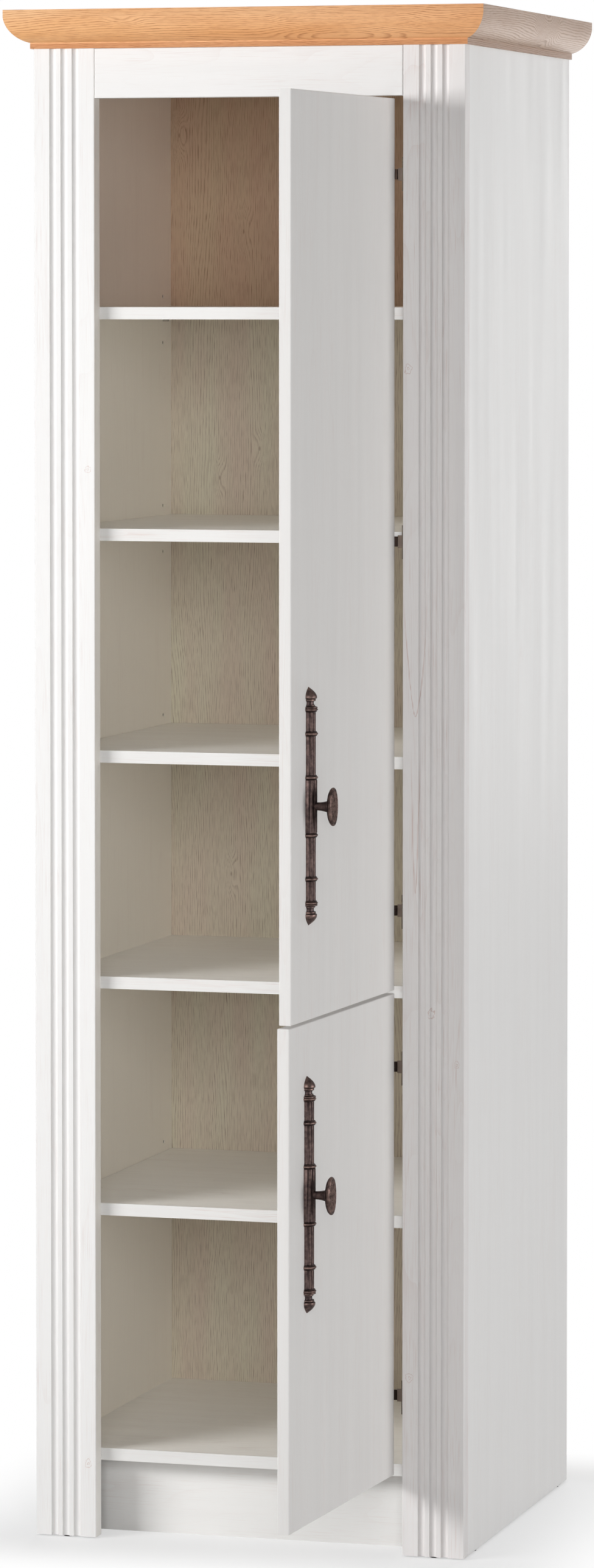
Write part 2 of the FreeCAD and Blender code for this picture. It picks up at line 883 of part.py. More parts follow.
def knob_button():
    """Oval button, turned round and then narrowed, with its back on the XY plane."""
    radius = knob_half_height
    rim_low, rim_high = [knob_thickness * share for share in knob_rim_shares]
    back_middle = point(radius * knob_back_shares[0], 0, knob_thickness * knob_back_shares[1])
    face_middle = point(radius * knob_face_shares[0], 0, knob_thickness * knob_face_shares[1])
    back_centre, face_centre = point(0, 0, 0), point(0, 0, knob_thickness)
    rim_start, rim_end = point(radius, 0, rim_low), point(radius, 0, rim_high)
    edges = [Part.Arc(back_centre, back_middle, rim_start).toShape(),
             Part.LineSegment(rim_start, rim_end).toShape(),
             Part.Arc(rim_end, face_middle, face_centre).toShape(),
             Part.LineSegment(face_centre, back_centre).toShape()]
    button = Part.Face(Part.Wire(edges)).revolve(back_centre, Z_AXIS, 360)
    squeeze = FreeCAD.Matrix()
    squeeze.scale(knob_half_width / knob_half_height, 1, 1)
    return button.transformGeometry(squeeze)


def knob(level):
    button = knob_button()
    button.rotate(point(0, 0, 0), X_AXIS, 90)
    button.translate(point(handle_x, door_face_y - knob_reach, level))
    root_y = door_face_y - rod_radius / 2
    stem = Part.makeCone(stem_radius, stem_flare, knob_reach - rod_radius / 2,
                         point(handle_x, root_y, level), Y_AXIS * -1)
    core = rod(point(handle_x, root_y, level), Y_AXIS * -1, stem_radius,
               knob_reach - rod_radius / 2 + knob_thickness / 2)
    return button.fuse([stem, core]).removeSplitter().cut(handle_plate(level))


def handle_screws(level):
    start_y = door_back_y + screw_head_height
    length = screw_head_height + door_thickness + handle_screw_bite - fastener_slack
    return group([screw(point(x, start_y, z), Y_AXIS * -1, handle_screw_radius, length,
                        2 * handle_screw_radius, screw_head_height)
                  for x, z in handle_screw_places(level)])


def opened(shape, angle):
    """Swings a piece of a closed door out about the hinge axis."""
    turned = shape.copy()
    turned.rotate(point(axis_x, axis_y, 0), Z_AXIS, angle)
    return turned


def door_pieces(prefix, span, share, angle):
    level = handle_level(span, share)
    pieces = {
        "door_" + prefix: door(span, level),
        prefix + "_handle_plate": handle_plate(level),
        prefix + "_knob": knob(level),
        prefix + "_handle_screws": handle_screws(level),
        prefix + "_hinge_cups": hinge_cups(span),
        prefix + "_cup_screws": cup_screws(span),
        prefix + "_door_bumpers": door_bumpers(span),
    }
    return {name: opened(shape, angle) for name, shape in pieces.items()}


def fixed_pieces():
    joint = back_joint()
    cams = [cut(cam, bolt_solids(fastener_slack)) for cam in cam_solids()]
    pieces = {
        "side_panel_left": side_panel(-1),
        "side_panel_right": side_panel(1),
        "top_panel": fixed_board(carcass_height - board),
        "fixed_shelf": fixed_board(fixed_level - board),
        "bottom_board": fixed_board(plinth_height),
        "plinth_front": plinth_front(),
        "plinth_rear": plinth_rear(),
        "back_panel_upper": back_panel((joint + strip_thickness, carcass_height)),
        "back_panel_lower": back_panel((plinth_height, joint - strip_thickness)),
        "back_joint_strip": back_joint_strip(),
        "pilaster_left": pilaster(-1),
        "pilaster_right": pilaster(1),
        "frieze_rail": frieze_rail(),
        "cornice_front": cornice_front(),
        "cornice_left": cornice_side(-1),
        "cornice_right": cornice_side(1),
        "cornice_rear_rail": cornice_rear_rail(),
        "cornice_blocks": cornice_blocks(),
        "cornice_screws": cornice_screws(),
        "shelf_pins": shelf_pins(),
        "board_dowels": group(dowel_solids()),
        "cam_bolts": group(bolt_solids()),
        "cam_locks": group(cams),
        "pilaster_dowels": group(pilaster_dowels()),
        "rail_dowels": group(rail_dowels()),
        "back_nails": back_nails(),
        "wall_brackets": wall_brackets(),
        "bracket_screws": bracket_screws(),
        "upper_hinge_arms": hinge_arms(upper_door_span),
        "lower_hinge_arms": hinge_arms(lower_door_span),
        "hinge_arm_covers": arm_covers(),
        "hinge_plate_screws": plate_screws(),
        "floor_glides": floor_glides(),
    }
    for number, level in enumerate(adjustable_levels, 1):
        pieces["adjustable_shelf_%d" % number] = adjustable_shelf(level)
    return pieces


os.makedirs("parts", exist_ok=True)
model = fixed_pieces()
model.update(door_pieces("upper", upper_door_span, upper_handle_share, upper_open_angle))
model.update(door_pieces("lower", lower_door_span, lower_handle_share, lower_open_angle))
for name, shape in model.items():
    shape.exportStep("parts/" + name + ".step")
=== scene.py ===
"""Tall cupboard in whitewashed pine and oak foil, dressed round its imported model. Lengths are in metres."""
import json
import math

import bmesh
import bpy
from mathutils import Matrix, Vector


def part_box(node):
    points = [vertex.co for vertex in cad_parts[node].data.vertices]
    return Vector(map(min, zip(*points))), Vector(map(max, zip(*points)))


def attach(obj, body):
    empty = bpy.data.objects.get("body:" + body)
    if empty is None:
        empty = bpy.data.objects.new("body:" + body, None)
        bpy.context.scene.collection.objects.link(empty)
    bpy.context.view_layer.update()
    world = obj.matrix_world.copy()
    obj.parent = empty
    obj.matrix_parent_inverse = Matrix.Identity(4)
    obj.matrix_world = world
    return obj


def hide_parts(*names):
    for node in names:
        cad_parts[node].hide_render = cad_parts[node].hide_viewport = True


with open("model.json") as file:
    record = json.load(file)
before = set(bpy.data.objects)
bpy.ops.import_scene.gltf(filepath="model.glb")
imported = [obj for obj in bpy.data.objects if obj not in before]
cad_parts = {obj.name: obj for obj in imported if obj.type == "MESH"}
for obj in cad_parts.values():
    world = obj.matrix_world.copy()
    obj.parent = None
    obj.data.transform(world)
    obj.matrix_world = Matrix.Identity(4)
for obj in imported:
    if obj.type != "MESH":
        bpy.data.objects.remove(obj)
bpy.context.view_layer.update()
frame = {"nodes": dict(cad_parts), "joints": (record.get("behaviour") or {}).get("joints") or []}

scene = bpy.context.scene
nodes = frame["nodes"]


# Studio
# The cupboard stands on a pale floor before a white backdrop. A tall soft lamp on its left is the key, and
# weaker ones light it from the front, the right, behind and overhead. The camera is at eye height.
def linear(hex_colour):
    """Linear colour of an sRGB hex value."""
    shares = [int(hex_colour[i:i + 2], 16) / 255 for i in (1, 3, 5)]
    return [c / 12.92 if c <= 0.04045 else ((c + 0.055) / 1.055) ** 2.4 for c in shares] + [1.0]


def add(tree, kind, inputs=None, **settings):
    """Adds a node with its settings. An input is linked if it is a socket, or a node, which stands for its
    first output, and it is set if it is a plain value."""
    node = tree.nodes.new(kind)
    for name, value in settings.items():
        setattr(node, name, value)
    for socket, value in (inputs or {}).items():
        if isinstance(value, bpy.types.Node):
            value = value.outputs[0]
        if isinstance(value, bpy.types.NodeSocket):
            tree.links.new(value, node.inputs[socket])
        else:
            node.inputs[socket].default_value = value
    return node


def new_finish(name):
    """A material to build on: itself, its node tree, its shader, and places on the piece in metres."""
    material = bpy.data.materials.new(name)
    material.use_nodes = True
    tree = material.node_tree
    place = add(tree, "ShaderNodeTexCoord").outputs["Object"]
    return material, tree, tree.nodes["Principled BSDF"], place


view = bpy.data.objects.new("view", bpy.data.cameras.new("view"))
scene.collection.objects.link(view)
view.location = (2.3030, -7.7431, 1.6433)
DOWN_DEG, LEFT_DEG = 2.384, 16.253
view.rotation_euler = (math.radians(90 - DOWN_DEG), 0, math.radians(LEFT_DEG))
view.data.lens = 141.56
view.data.sensor_width = 36
view.data.shift_y = -0.1506
view.data.clip_end = 60
scene.camera = view
scene.view_settings.view_transform = "Standard"

# Softboxes: name, place, what it points at, width, height and power in watts
for name, place, aim, width, height, power in (
        ("key_left", (-3.0, -3.1, 1.9), (0.05, -0.07, 1.35), 2.3, 1.05, 147),
        ("fill_front", (1.5, -5.9, 2.1), (0.0, 0.0, 1.0), 2.4, 2.2, 113),
        ("fill_right", (4.8, 0.2, 1.0), (0.3, 0.1, 1.0), 2.0, 2.2, 107),
        ("fill_rear", (0.0, 5.0, 1.6), (0.0, 0.4, 1.0), 2.4, 2.2, 116),
        ("fill_top", (0.0, 1.3, 4.4), (0.0, 0.2, 2.0), 1.6, 1.6, 40)):
    lamp = bpy.data.objects.new(name, bpy.data.lights.new(name, "AREA"))
    scene.collection.objects.link(lamp)
    lamp.data.shape = "RECTANGLE"
    lamp.data.size, lamp.data.size_y = width, height
    lamp.data.energy = power
    lamp.location = place
    lamp.rotation_euler = (Vector(aim) - Vector(place)).to_track_quat("-Z", "Y").to_euler()

# The sky gives little light, is white to the camera and through clear plastic, and pale in reflections
SKY, SKY_IN_GLOSS = 0.02, 0.3
sky = bpy.data.worlds.new("studio_sky")
scene.world = sky
sky.use_nodes = True
tree = sky.node_tree
tree.nodes.clear()
path = add(tree, "ShaderNodeLightPath").outputs
dim = add(tree, "ShaderNodeMath", {0: path["Is Glossy Ray"], 1: SKY_IN_GLOSS}, operation="MULTIPLY")
seen = add(tree, "ShaderNodeMath", {0: path["Is Camera Ray"], 1: path["Is Transmission Ray"]},
           operation="MAXIMUM")
seen = add(tree, "ShaderNodeMath", {0: seen, 1: dim}, operation="MAXIMUM")
lit = add(tree, "ShaderNodeBackground", {"Color": (1, 1, 1, 1), "Strength": SKY})
plain = add(tree, "ShaderNodeBackground", {"Color": (1, 1, 1, 1), "Strength": 1.0})
both = add(tree, "ShaderNodeMixShader", {0: seen, 1: lit, 2: plain})
add(tree, "ShaderNodeOutputWorld", {"Surface": both})

# Painted studio floor: matt, near the cupboard seen in its own pale grey, and running out to white
FLOOR_HALF = 9.0
FOOT_MIDDLE, FOOT_HALF = (0.0, 0.205, 0.0), (0.292, 0.282, 1.0)
FADE_REACH, FADE_START = 0.22, 0.5
corners = [(x * FLOOR_HALF, y * FLOOR_HALF, 0) for x, y in ((-1, -1), (1, -1), (1, 1), (-1, 1))]
floor_mesh = bpy.data.meshes.new("studio_floor")
floor_mesh.from_pydata(corners, [], [(0, 1, 2, 3)])
floor = bpy.data.objects.new("studio_floor", floor_mesh)
scene.collection.objects.link(floor)
paint, tree, coat, place = new_finish("matt_floor_paint")
mottle = add(tree, "ShaderNodeTexNoise", {"Vector": place, "Scale": 9.0, "Detail": 3.0})
tint = add(tree, "ShaderNodeMix", {0: mottle, 6: linear("#e9e9e9"), 7: linear("#ececec")}, data_type="RGBA")
tree.links.new(tint.outputs[2], coat.inputs["Base Color"])
coat.inputs["Roughness"].default_value = 0.9
coat.inputs["Specular IOR Level"].default_value = 0.1
off = add(tree, "ShaderNodeVectorMath", {0: place, 1: FOOT_MIDDLE}, operation="SUBTRACT")
off = add(tree, "ShaderNodeVectorMath", {0: off}, operation="ABSOLUTE")
off = add(tree, "ShaderNodeVectorMath", {0: off, 1: FOOT_HALF}, operation="SUBTRACT")
off = add(tree, "ShaderNodeVectorMath", {0: off, 1: (0.0, 0.0, 0.0)}, operation="MAXIMUM")
off = add(tree, "ShaderNodeVectorMath", {0: off}, operation="LENGTH")
fade = add(tree, "ShaderNodeMapRange",
           {0: off.outputs["Value"], 1: 0.0, 2: FADE_REACH, 3: FADE_START, 4: 1.0},
           interpolation_type="SMOOTHSTEP")
eye = add(tree, "ShaderNodeLightPath").outputs["Is Camera Ray"]
share = add(tree, "ShaderNodeMath", {0: fade, 1: eye}, operation="MULTIPLY")
white = add(tree, "ShaderNodeEmission", {"Color": (1, 1, 1, 1), "Strength": 1.0})
both = add(tree, "ShaderNodeMixShader", {0: share, 1: coat, 2: white})
tree.links.new(both.outputs[0], tree.nodes["Material Output"].inputs["Surface"])
floor_mesh.materials.append(paint)


# Side panels
# Two upright 16 mm chipboard panels faced with melamine foil printed as whitewashed pine. The grain runs up
# the panel, and the inner faces carry a brighter, warmer ivory tone, painted light that lifts the shade
# inside the cupboard, browner in the top bay as painted shade. Holes for shelf pins run near both edges.
def streaks(tree, place, grain, across, along, detail=2.0):
    """Noise drawn out along the grain axis; across and along are a streak's usual size in mm."""
    scale = [1000 / across] * 3
    scale[grain] = 1000 / along
    stretched = add(tree, "ShaderNodeMapping", {"Vector": place, "Scale": scale})
    noise = add(tree, "ShaderNodeTexNoise", {"Vector": stretched, "Scale": 1.0, "Detail": detail})
    return noise.outputs[0]


def lay_on(tree, colour, rough, relief, strength, depth, invert=False):
    """Gives a finish its colour and roughness, and presses its relief in or out by a depth in metres."""
    shader = tree.nodes["Principled BSDF"]
    press = add(tree, "ShaderNodeBump", {"Strength": strength, "Distance": depth, "Height": relief},
                invert=invert)
    for socket, value in (("Base Color", colour), ("Roughness", rough), ("Normal", press.outputs[0])):
        tree.links.new(value, shader.inputs[socket])


PINE = "#e6e5e4"
PINE_STREAK = "#c8b1aa"
FOIL_IOR = 1.5
# The top bay is drawn browner as painted shade, from a height inside the highest shelf up
TOP_BAY = 1.612


def pine_foil(name, grain, tone=PINE, knots=(), flames=(), depth=1.0, inside=None):
    """Melamine foil printed as whitewashed pine: nearly white, with faint pinkish grain lines under a satin
    coat, so it shows soft streaks and a dull sheen. Grain lines are drawn about 1 mm wide, twice the real
    width, so that they show. knots are small ringed spots and flames pointed V figures, each at its place on
    the face. inside gives a mask for the inner faces and their tone, which is painted light: brighter and
    warmer than the outer foil, to lift the shade inside the cupboard. The browner tone for the top bay is
    painted shade."""
    material, tree, shader, place = new_finish(name)
    spot = add(tree, "ShaderNodeSeparateXYZ", {0: place}).outputs
    broad = streaks(tree, place, grain, 26, 520, 1.0)
    fine = streaks(tree, place, grain, 0.9, 60)
    where = streaks(tree, place, grain, 34, 260, 1.0)
    swell = streaks(tree, place, grain, 75, 620, 1.0)
    hair = add(tree, "ShaderNodeMapRange", {0: fine, 1: 0.56, 2: 0.74, 3: 0.0, 4: 1.0})
    where = add(tree, "ShaderNodeMapRange", {0: where, 1: 0.42, 2: 0.66, 3: 0.25, 4: 1.0})
    hair = add(tree, "ShaderNodeMath", {0: hair, 1: where}, operation="MULTIPLY")
    rings = add(tree, "ShaderNodeMath", {0: swell, 1: 17.0}, operation="MULTIPLY")
    rings = add(tree, "ShaderNodeMath", {0: rings}, operation="FRACT")
    rings = add(tree, "ShaderNodeMath", {0: rings, 1: 7.0}, operation="POWER")
    rings = add(tree, "ShaderNodeMath", {0: rings, 1: where}, operation="MULTIPLY")
    marks = add(tree, "ShaderNodeMath", {0: hair, 1: 0.50 * depth}, operation="MULTIPLY")
    marks = add(tree, "ShaderNodeMath", {0: rings, 1: 0.13 * depth, 2: marks}, operation="MULTIPLY_ADD")
    if knots:
        wavy = add(tree, "ShaderNodeTexNoise", {"Vector": place, "Scale": 240.0, "Detail": 1.0})
        wavy = add(tree, "ShaderNodeVectorMath", {0: wavy.outputs["Color"], 1: (0.5, 0.5, 0.5)},
                   operation="SUBTRACT")
        wavy = add(tree, "ShaderNodeVectorMath", {0: wavy, "Scale": 0.006}, operation="SCALE")
        wavy = add(tree, "ShaderNodeVectorMath", {0: place, 1: wavy}, operation="ADD")
    for x, y, z, size in knots:
        off = add(tree, "ShaderNodeVectorMath", {0: wavy, 1: (x, y, z)}, operation="SUBTRACT")
        off = add(tree, "ShaderNodeVectorMath", {0: off, 1: (1.0, 1.0, 0.75)}, operation="MULTIPLY")
        off = add(tree, "ShaderNodeVectorMath", {0: off}, operation="LENGTH")
        reach = add(tree, "ShaderNodeMath", {0: off.outputs["Value"], 1: size}, operation="LESS_THAN")
        rim = add(tree, "ShaderNodeMath", {0: off.outputs["Value"], 1: size / 4}, operation="PINGPONG")
        rim = add(tree, "ShaderNodeMapRange",
                  {0: rim, 1: size * 0.16, 2: size * 0.24, 3: 0.0, 4: 0.8})
        knot = add(tree, "ShaderNodeMath", {0: reach, 1: rim}, operation="MULTIPLY")
        marks = add(tree, "ShaderNodeMath", {0: marks, 1: knot}, operation="MAXIMUM")
    for x, tip, half, rise in flames:
        aside = add(tree, "ShaderNodeMath", {0: fine, 1: 0.004, 2: -0.002 - x}, operation="MULTIPLY_ADD")
        aside = add(tree, "ShaderNodeMath", {0: spot[0], 1: aside}, operation="ADD")
        aside = add(tree, "ShaderNodeMath", {0: aside}, operation="ABSOLUTE")
        climb = add(tree, "ShaderNodeMapRange", {0: spot[2], 1: tip, 2: tip + rise, 3: 0.0, 4: 1.0})
        arm = add(tree, "ShaderNodeMath", {0: climb, 1: 0.62}, operation="POWER")
        arm = add(tree, "ShaderNodeMath", {0: arm, 1: -half, 2: aside}, operation="MULTIPLY_ADD")
        arm = add(tree, "ShaderNodeMath", {0: arm}, operation="ABSOLUTE")
        line = add(tree, "ShaderNodeMapRange", {0: arm, 1: 0.0002, 2: 0.0008, 3: 0.75, 4: 0.0})
        ends = add(tree, "ShaderNodeMath", {0: climb, 1: 0.0}, operation="GREATER_THAN")
        fade = add(tree, "ShaderNodeMapRange", {0: climb, 1: 0.6, 2: 1.0, 3: 1.0, 4: 0.0})
        ends = add(tree, "ShaderNodeMath", {0: ends, 1: fade}, operation="MULTIPLY")
        flame = add(tree, "ShaderNodeMath", {0: line, 1: ends}, operation="MULTIPLY")
        marks = add(tree, "ShaderNodeMath", {0: marks, 1: flame}, operation="MAXIMUM")
    ground = linear(tone)[:3]
    if inside:
        mask, inner, deep = inside
        within = mask(tree, spot)
        above = add(tree, "ShaderNodeMath", {0: spot[2], 1: TOP_BAY}, operation="GREATER_THAN")
        inner = add(tree, "ShaderNodeMix", {0: above, 6: linear(inner), 7: linear(deep)}, data_type="RGBA")
        ground = add(tree, "ShaderNodeMix", {0: within, 6: linear(tone), 7: inner.outputs[2]},
                     data_type="RGBA").outputs[2]
    shade = add(tree, "ShaderNodeMapRange", {0: broad, 1: 0.25, 2: 0.75, 3: 1.0, 4: 1.0 - 0.04 * depth})
    base = add(tree, "ShaderNodeVectorMath", {0: ground, "Scale": shade}, operation="SCALE")
    colour = add(tree, "ShaderNodeMix", {0: marks, 6: base, 7: linear(PINE_STREAK)},
                 data_type="RGBA", clamp_factor=True)
    colour = colour.outputs[2]
    sheen = add(tree, "ShaderNodeMapRange", {0: broad, 1: 0.2, 2: 0.8, 3: 0.44, 4: 0.58})
    shader.inputs["IOR"].default_value = FOIL_IOR
    lay_on(tree, colour, sheen.outputs[0], hair.outputs[0], 0.35, 0.00012, invert=True)
    return material, tree, spot, colour


INSIDE_HALF = 0.285


def between_sides(tree, spot):
    """1 on the side panels' inner faces, 0 on their outer ones."""
    width = add(tree, "ShaderNodeMath", {0: spot[0]}, operation="ABSOLUTE")
    return add(tree, "ShaderNodeMath", {0: width, 1: INSIDE_HALF}, operation="LESS_THAN").outputs[0]


def dress(finish, *names):
    """Gives CAD nodes a finish."""
    for name in names:
        nodes[name].material_slots[0].material = finish


# Inner faces brighter and warmer ivory as painted light, browner in the top bay as painted shade
side_foil, tree, spot, colour = pine_foil(
    "whitewashed_pine_side_painted_light_and_shade", 2, depth=0.4, inside=(between_sides, "#fffaf0", "#f7ede2"))
# Bare chipboard in the drilled holes and the back's groove, where a face lies deeper than the foil, drawn
# dark
# brown: the core's own colour darkened as painted shade in these recesses
FOIL_DEEP, RIM_DEEP = 0.0008, 0.001
low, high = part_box("side_panel_right")
middle, half = (low + high) / 2, (high - low) / 2
depth = add(tree, "ShaderNodeMath", {0: spot[0]}, operation="ABSOLUTE")
depth = add(tree, "ShaderNodeMath", {0: depth, 1: middle.x, 2: half.x - FOIL_DEEP}, operation="COMPARE")
along = add(tree, "ShaderNodeMath", {0: spot[1], 1: middle.y, 2: half.y - RIM_DEEP}, operation="COMPARE")
up = add(tree, "ShaderNodeMath", {0: spot[2], 1: middle.z, 2: half.z - RIM_DEEP}, operation="COMPARE")
bare = add(tree, "ShaderNodeMath", {0: depth, 1: along}, operation="MULTIPLY")
bare = add(tree, "ShaderNodeMath", {0: bare, 1: up}, operation="MULTIPLY")
drilled = add(tree, "ShaderNodeMix", {0: bare, 6: colour, 7: linear("#3d2f22")}, data_type="RGBA")
tree.links.new(drilled.outputs[2], tree.nodes["Principled BSDF"].inputs["Base Color"])
dress(side_foil, "side_panel_left", "side_panel_right")


# Boards and shelves
# Top panel, fixed shelf, bottom board and four loose shelves, 16 mm chipboard in the same foil. The grain
# runs along each board, and the front edges are banded in a greyer white, painted shade on the recessed
# edges. Behind them the faces are brighter and warmer as painted light, and browner in the top bay as
# painted shade.
EDGE_BAND = 0.0015
board_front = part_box("fixed_shelf")[0].y


def behind_edge(tree, spot):
    """1 behind the boards' front edges, 0 on the edges."""
    return add(tree, "ShaderNodeMath", {0: spot[1], 1: board_front + EDGE_BAND},
               operation="GREATER_THAN").outputs[0]


# Greyer front edges are painted shade, the brighter inner tone is painted light
board_foil = pine_foil("whitewashed_pine_board_painted_light_and_shade", 0, tone="#dfdedc",
                       inside=(behind_edge, "#fffcf6", "#f8efe6"))[0]
dress(board_foil, "top_panel", "fixed_shelf", "bottom_board", "adjustable_shelf_1", "adjustable_shelf_2",
      "adjustable_shelf_3", "adjustable_shelf_4")


# Plinth
# Two boards of the same chipboard that stand on edge under the bottom board, between the side panels, one set
# back at the front and one at the rear. The foil's grain lies along them.
dress(pine_foil("whitewashed_pine_plinth", 0, tone="#e5e4e2", depth=0.8)[0], "plinth_front", "plinth_rear")


# Front frame
# Two pilasters of fibreboard, each moulded with three coves and wrapped in the foil, with the frieze rail
# dowelled between them at the top. The print shows a few small knots, where the foil is a little darker.
ON_FACE = 0.0003
low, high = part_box("pilaster_left")
front_y, opening_x = low.y, high.x


def facing_opening(tree, spot):
    """1 on the left pilaster's edge beside the opening."""
    return add(tree, "ShaderNodeMath", {0: spot[0], 1: opening_x - ON_FACE},
               operation="GREATER_THAN").outputs[0]


# The edge beside the opening is drawn brighter, painted light on that shaded face
left_foil = pine_foil(
    "whitewashed_pine_pilaster_left_painted_light", 2, depth=0.8, inside=(facing_opening, "#fffdf9", "#fffdf9"),
    knots=((-0.2197, front_y, 0.0996, 0.0055), (-0.2183, front_y, 1.4107, 0.0045)))[0]
# Its tone is darker and pinker than the left one's: painted shade of the open doors' shadow
right_foil = pine_foil(
    "whitewashed_pine_pilaster_right_painted_shade", 2, tone="#e3e0df", depth=1.35,
    knots=((0.2160, front_y, 1.5432, 0.006), (0.2481, front_y, 0.7095, 0.0065),
           (0.2183, front_y, 0.2348, 0.006), (0.2815, front_y, 0.6443, 0.0045)),
    flames=((0.2262, 1.0939, 0.0165, 0.16), (0.2262, 0.865, 0.006, 0.19)))[0]
dress(left_foil, "pilaster_left")
dress(right_foil, "pilaster_right")
dress(pine_foil("whitewashed_pine_frieze", 0, depth=0.8)[0], "frieze_rail")


# Cornice
# A moulded crown in three mitred lengths, fibreboard wrapped in oak foil: the front in warm natural oak, the
# returns in the same oak drawn greyer and pinker as painted shade. Its face is a rounded belly under a square
# band, over a small fillet, which is drawn darker as painted shade, as is the front towards its right end.
def oak_foil(name, grain, across, pitch, swirl, knots, pore_size, ink, bands, tone, light, pore, heart, tint):
    """Foil printed as oak under a matt coat: dark open pores as short dashes that follow the year rings,
    which run along the grain at one pitch in mm and bend round knots. swirl is how many rings they wander to
    and fro, ink how strongly the pores show and bands how strongly the rings do. Pores are drawn a little
    coarse. tint is a colour laid over the print, used here for painted shade."""
    material, tree, shader, place = new_finish(name)
    spot = add(tree, "ShaderNodeSeparateXYZ", {0: place}).outputs
    swell = streaks(tree, place, grain, 70, 520, 1.0)
    wander = streaks(tree, place, grain, 11, 70, 2.0)
    rings = add(tree, "ShaderNodeMath", {0: spot[across], 1: 1000 / pitch}, operation="MULTIPLY")
    rings = add(tree, "ShaderNodeMath", {0: swell, 1: swirl, 2: rings}, operation="MULTIPLY_ADD")
    rings = add(tree, "ShaderNodeMath", {0: wander, 1: 1.6, 2: rings}, operation="MULTIPLY_ADD")
    squash = [1.0, 1.0, 1.0]
    squash[grain] = 0.36
    core = 0.0
    for knot_place, size, lift in knots:
        off = add(tree, "ShaderNodeVectorMath", {0: place, 1: knot_place}, operation="SUBTRACT")
        off = add(tree, "ShaderNodeVectorMath", {0: off, 1: squash}, operation="MULTIPLY")
        off = add(tree, "ShaderNodeVectorMath", {0: off}, operation="LENGTH")
        bulge = add(tree, "ShaderNodeMapRange", {0: off.outputs["Value"], 1: 0.0, 2: size, 3: lift, 4: 0.0},
                    interpolation_type="SMOOTHERSTEP")
        rings = add(tree, "ShaderNodeMath", {0: rings, 1: bulge}, operation="ADD")
        eye = add(tree, "ShaderNodeMapRange", {0: off.outputs["Value"], 1: 0.0007, 2: 0.0016, 3: 0.8, 4: 0.0})
        core = add(tree, "ShaderNodeMath", {0: eye, 1: core}, operation="MAXIMUM").outputs[0]
    ring = add(tree, "ShaderNodeMath", {0: rings}, operation="FRACT")
    late = add(tree, "ShaderNodeMapRange", {0: ring, 1: 0.45, 2: 0.8, 3: 0.0, 4: 1.0})
    shut = add(tree, "ShaderNodeMapRange", {0: ring, 1: 0.88, 2: 1.0, 3: 1.0, 4: 0.0})
    late = add(tree, "ShaderNodeMath", {0: late, 1: shut}, operation="MULTIPLY")
    dash = streaks(tree, place, grain, *pore_size, 1.0)
    dash = add(tree, "ShaderNodeMapRange", {0: dash, 1: 0.47, 2: 0.60, 3: 0.0, 4: 1.0})
    pores = add(tree, "ShaderNodeMath", {0: dash, 1: late}, operation="MULTIPLY")
    stray = streaks(tree, place, grain, pore_size[0] * 0.8, pore_size[1] * 0.6, 1.0)
    stray = add(tree, "ShaderNodeMapRange", {0: stray, 1: 0.62, 2: 0.72, 3: 0.0, 4: 0.5})
    pores = add(tree, "ShaderNodeMath", {0: pores, 1: stray}, operation="MAXIMUM")
    marks = add(tree, "ShaderNodeMath", {0: pores, 1: core}, operation="MAXIMUM")
    broad = streaks(tree, place, grain, 40, 300, 2.0)
    spread = add(tree, "ShaderNodeMapRange", {0: broad, 1: 0.3, 2: 0.7, 3: 0.0, 4: 1.0})
    base = add(tree, "ShaderNodeMix", {0: spread, 6: linear(tone), 7: linear(light)}, data_type="RGBA")
    soft = add(tree, "ShaderNodeMath", {0: late, 1: bands}, operation="MULTIPLY")
    base = add(tree, "ShaderNodeMix", {0: soft, 6: base.outputs[2], 7: linear(heart)}, data_type="RGBA")
    inked = add(tree, "ShaderNodeMath", {0: marks, 1: ink}, operation="MULTIPLY")
    colour = add(tree, "ShaderNodeMix", {0: inked, 6: base.outputs[2], 7: linear(pore)},
                 data_type="RGBA").outputs[2]
    colour = add(tree, "ShaderNodeMix", {0: 1.0, 6: colour, 7: tint(tree, spot)}, data_type="RGBA",
                 blend_type="MULTIPLY").outputs[2]
    dull = add(tree, "ShaderNodeMapRange", {0: pores, 1: 0.0, 2: 1.0, 3: 0.5, 4: 0.72})
    shader.inputs["IOR"].default_value = FOIL_IOR
    lay_on(tree, colour, dull.outputs[0], marks.outputs[0], 0.5, 0.00018, invert=True)
    return material


FILLET_HEIGHT, CROWN_DROP = 0.0065, 0.02
cornice_low, cornice_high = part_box("cornice_front")


def painted_shade_tint(end, fillet):
    """Painted shade: deeper colour on the small fillet, and towards the right end of the length."""
    def tint(tree, spot):
        along = add(tree, "ShaderNodeMapRange",
                    {0: spot[0], 1: cornice_low.x, 2: cornice_high.x, 3: 0.0, 4: 1.0})
        deeper = add(tree, "ShaderNodeMix", {0: along, 6: (1, 1, 1, 1), 7: linear(end)}, data_type="RGBA")
        below = add(tree, "ShaderNodeMath", {0: spot[2], 1: cornice_low.z + FILLET_HEIGHT},
                    operation="LESS_THAN")
        return add(tree, "ShaderNodeMix", {0: below, 6: deeper.outputs[2], 7: linear(fillet)},
                   data_type="RGBA").outputs[2]
    return tint


# A knot is its place, how far from it the rings bend and by how many of them
crown_y, crown_z = cornice_low.y, cornice_high.z - CROWN_DROP
# The fillet and the right end are darkened as painted shade
front_oak = oak_foil(
    "natural_oak_front", 0, 2, 2.4, 19.0,
    (((0.265, crown_y, crown_z), 0.022, 2.0), ((0.125, crown_y, crown_z - 0.035), 0.055, -7.0),
     ((0.063, crown_y, crown_z + 0.004), 0.012, -1.5), ((-0.159, crown_y, crown_z + 0.002), 0.014, 1.8)),
    (0.4, 16), 0.70, 0.22, "#dda46c", "#ecbd8c", "#8f5124", "#b87538", painted_shade_tint("#f6e7dc", "#ddc9b8"))
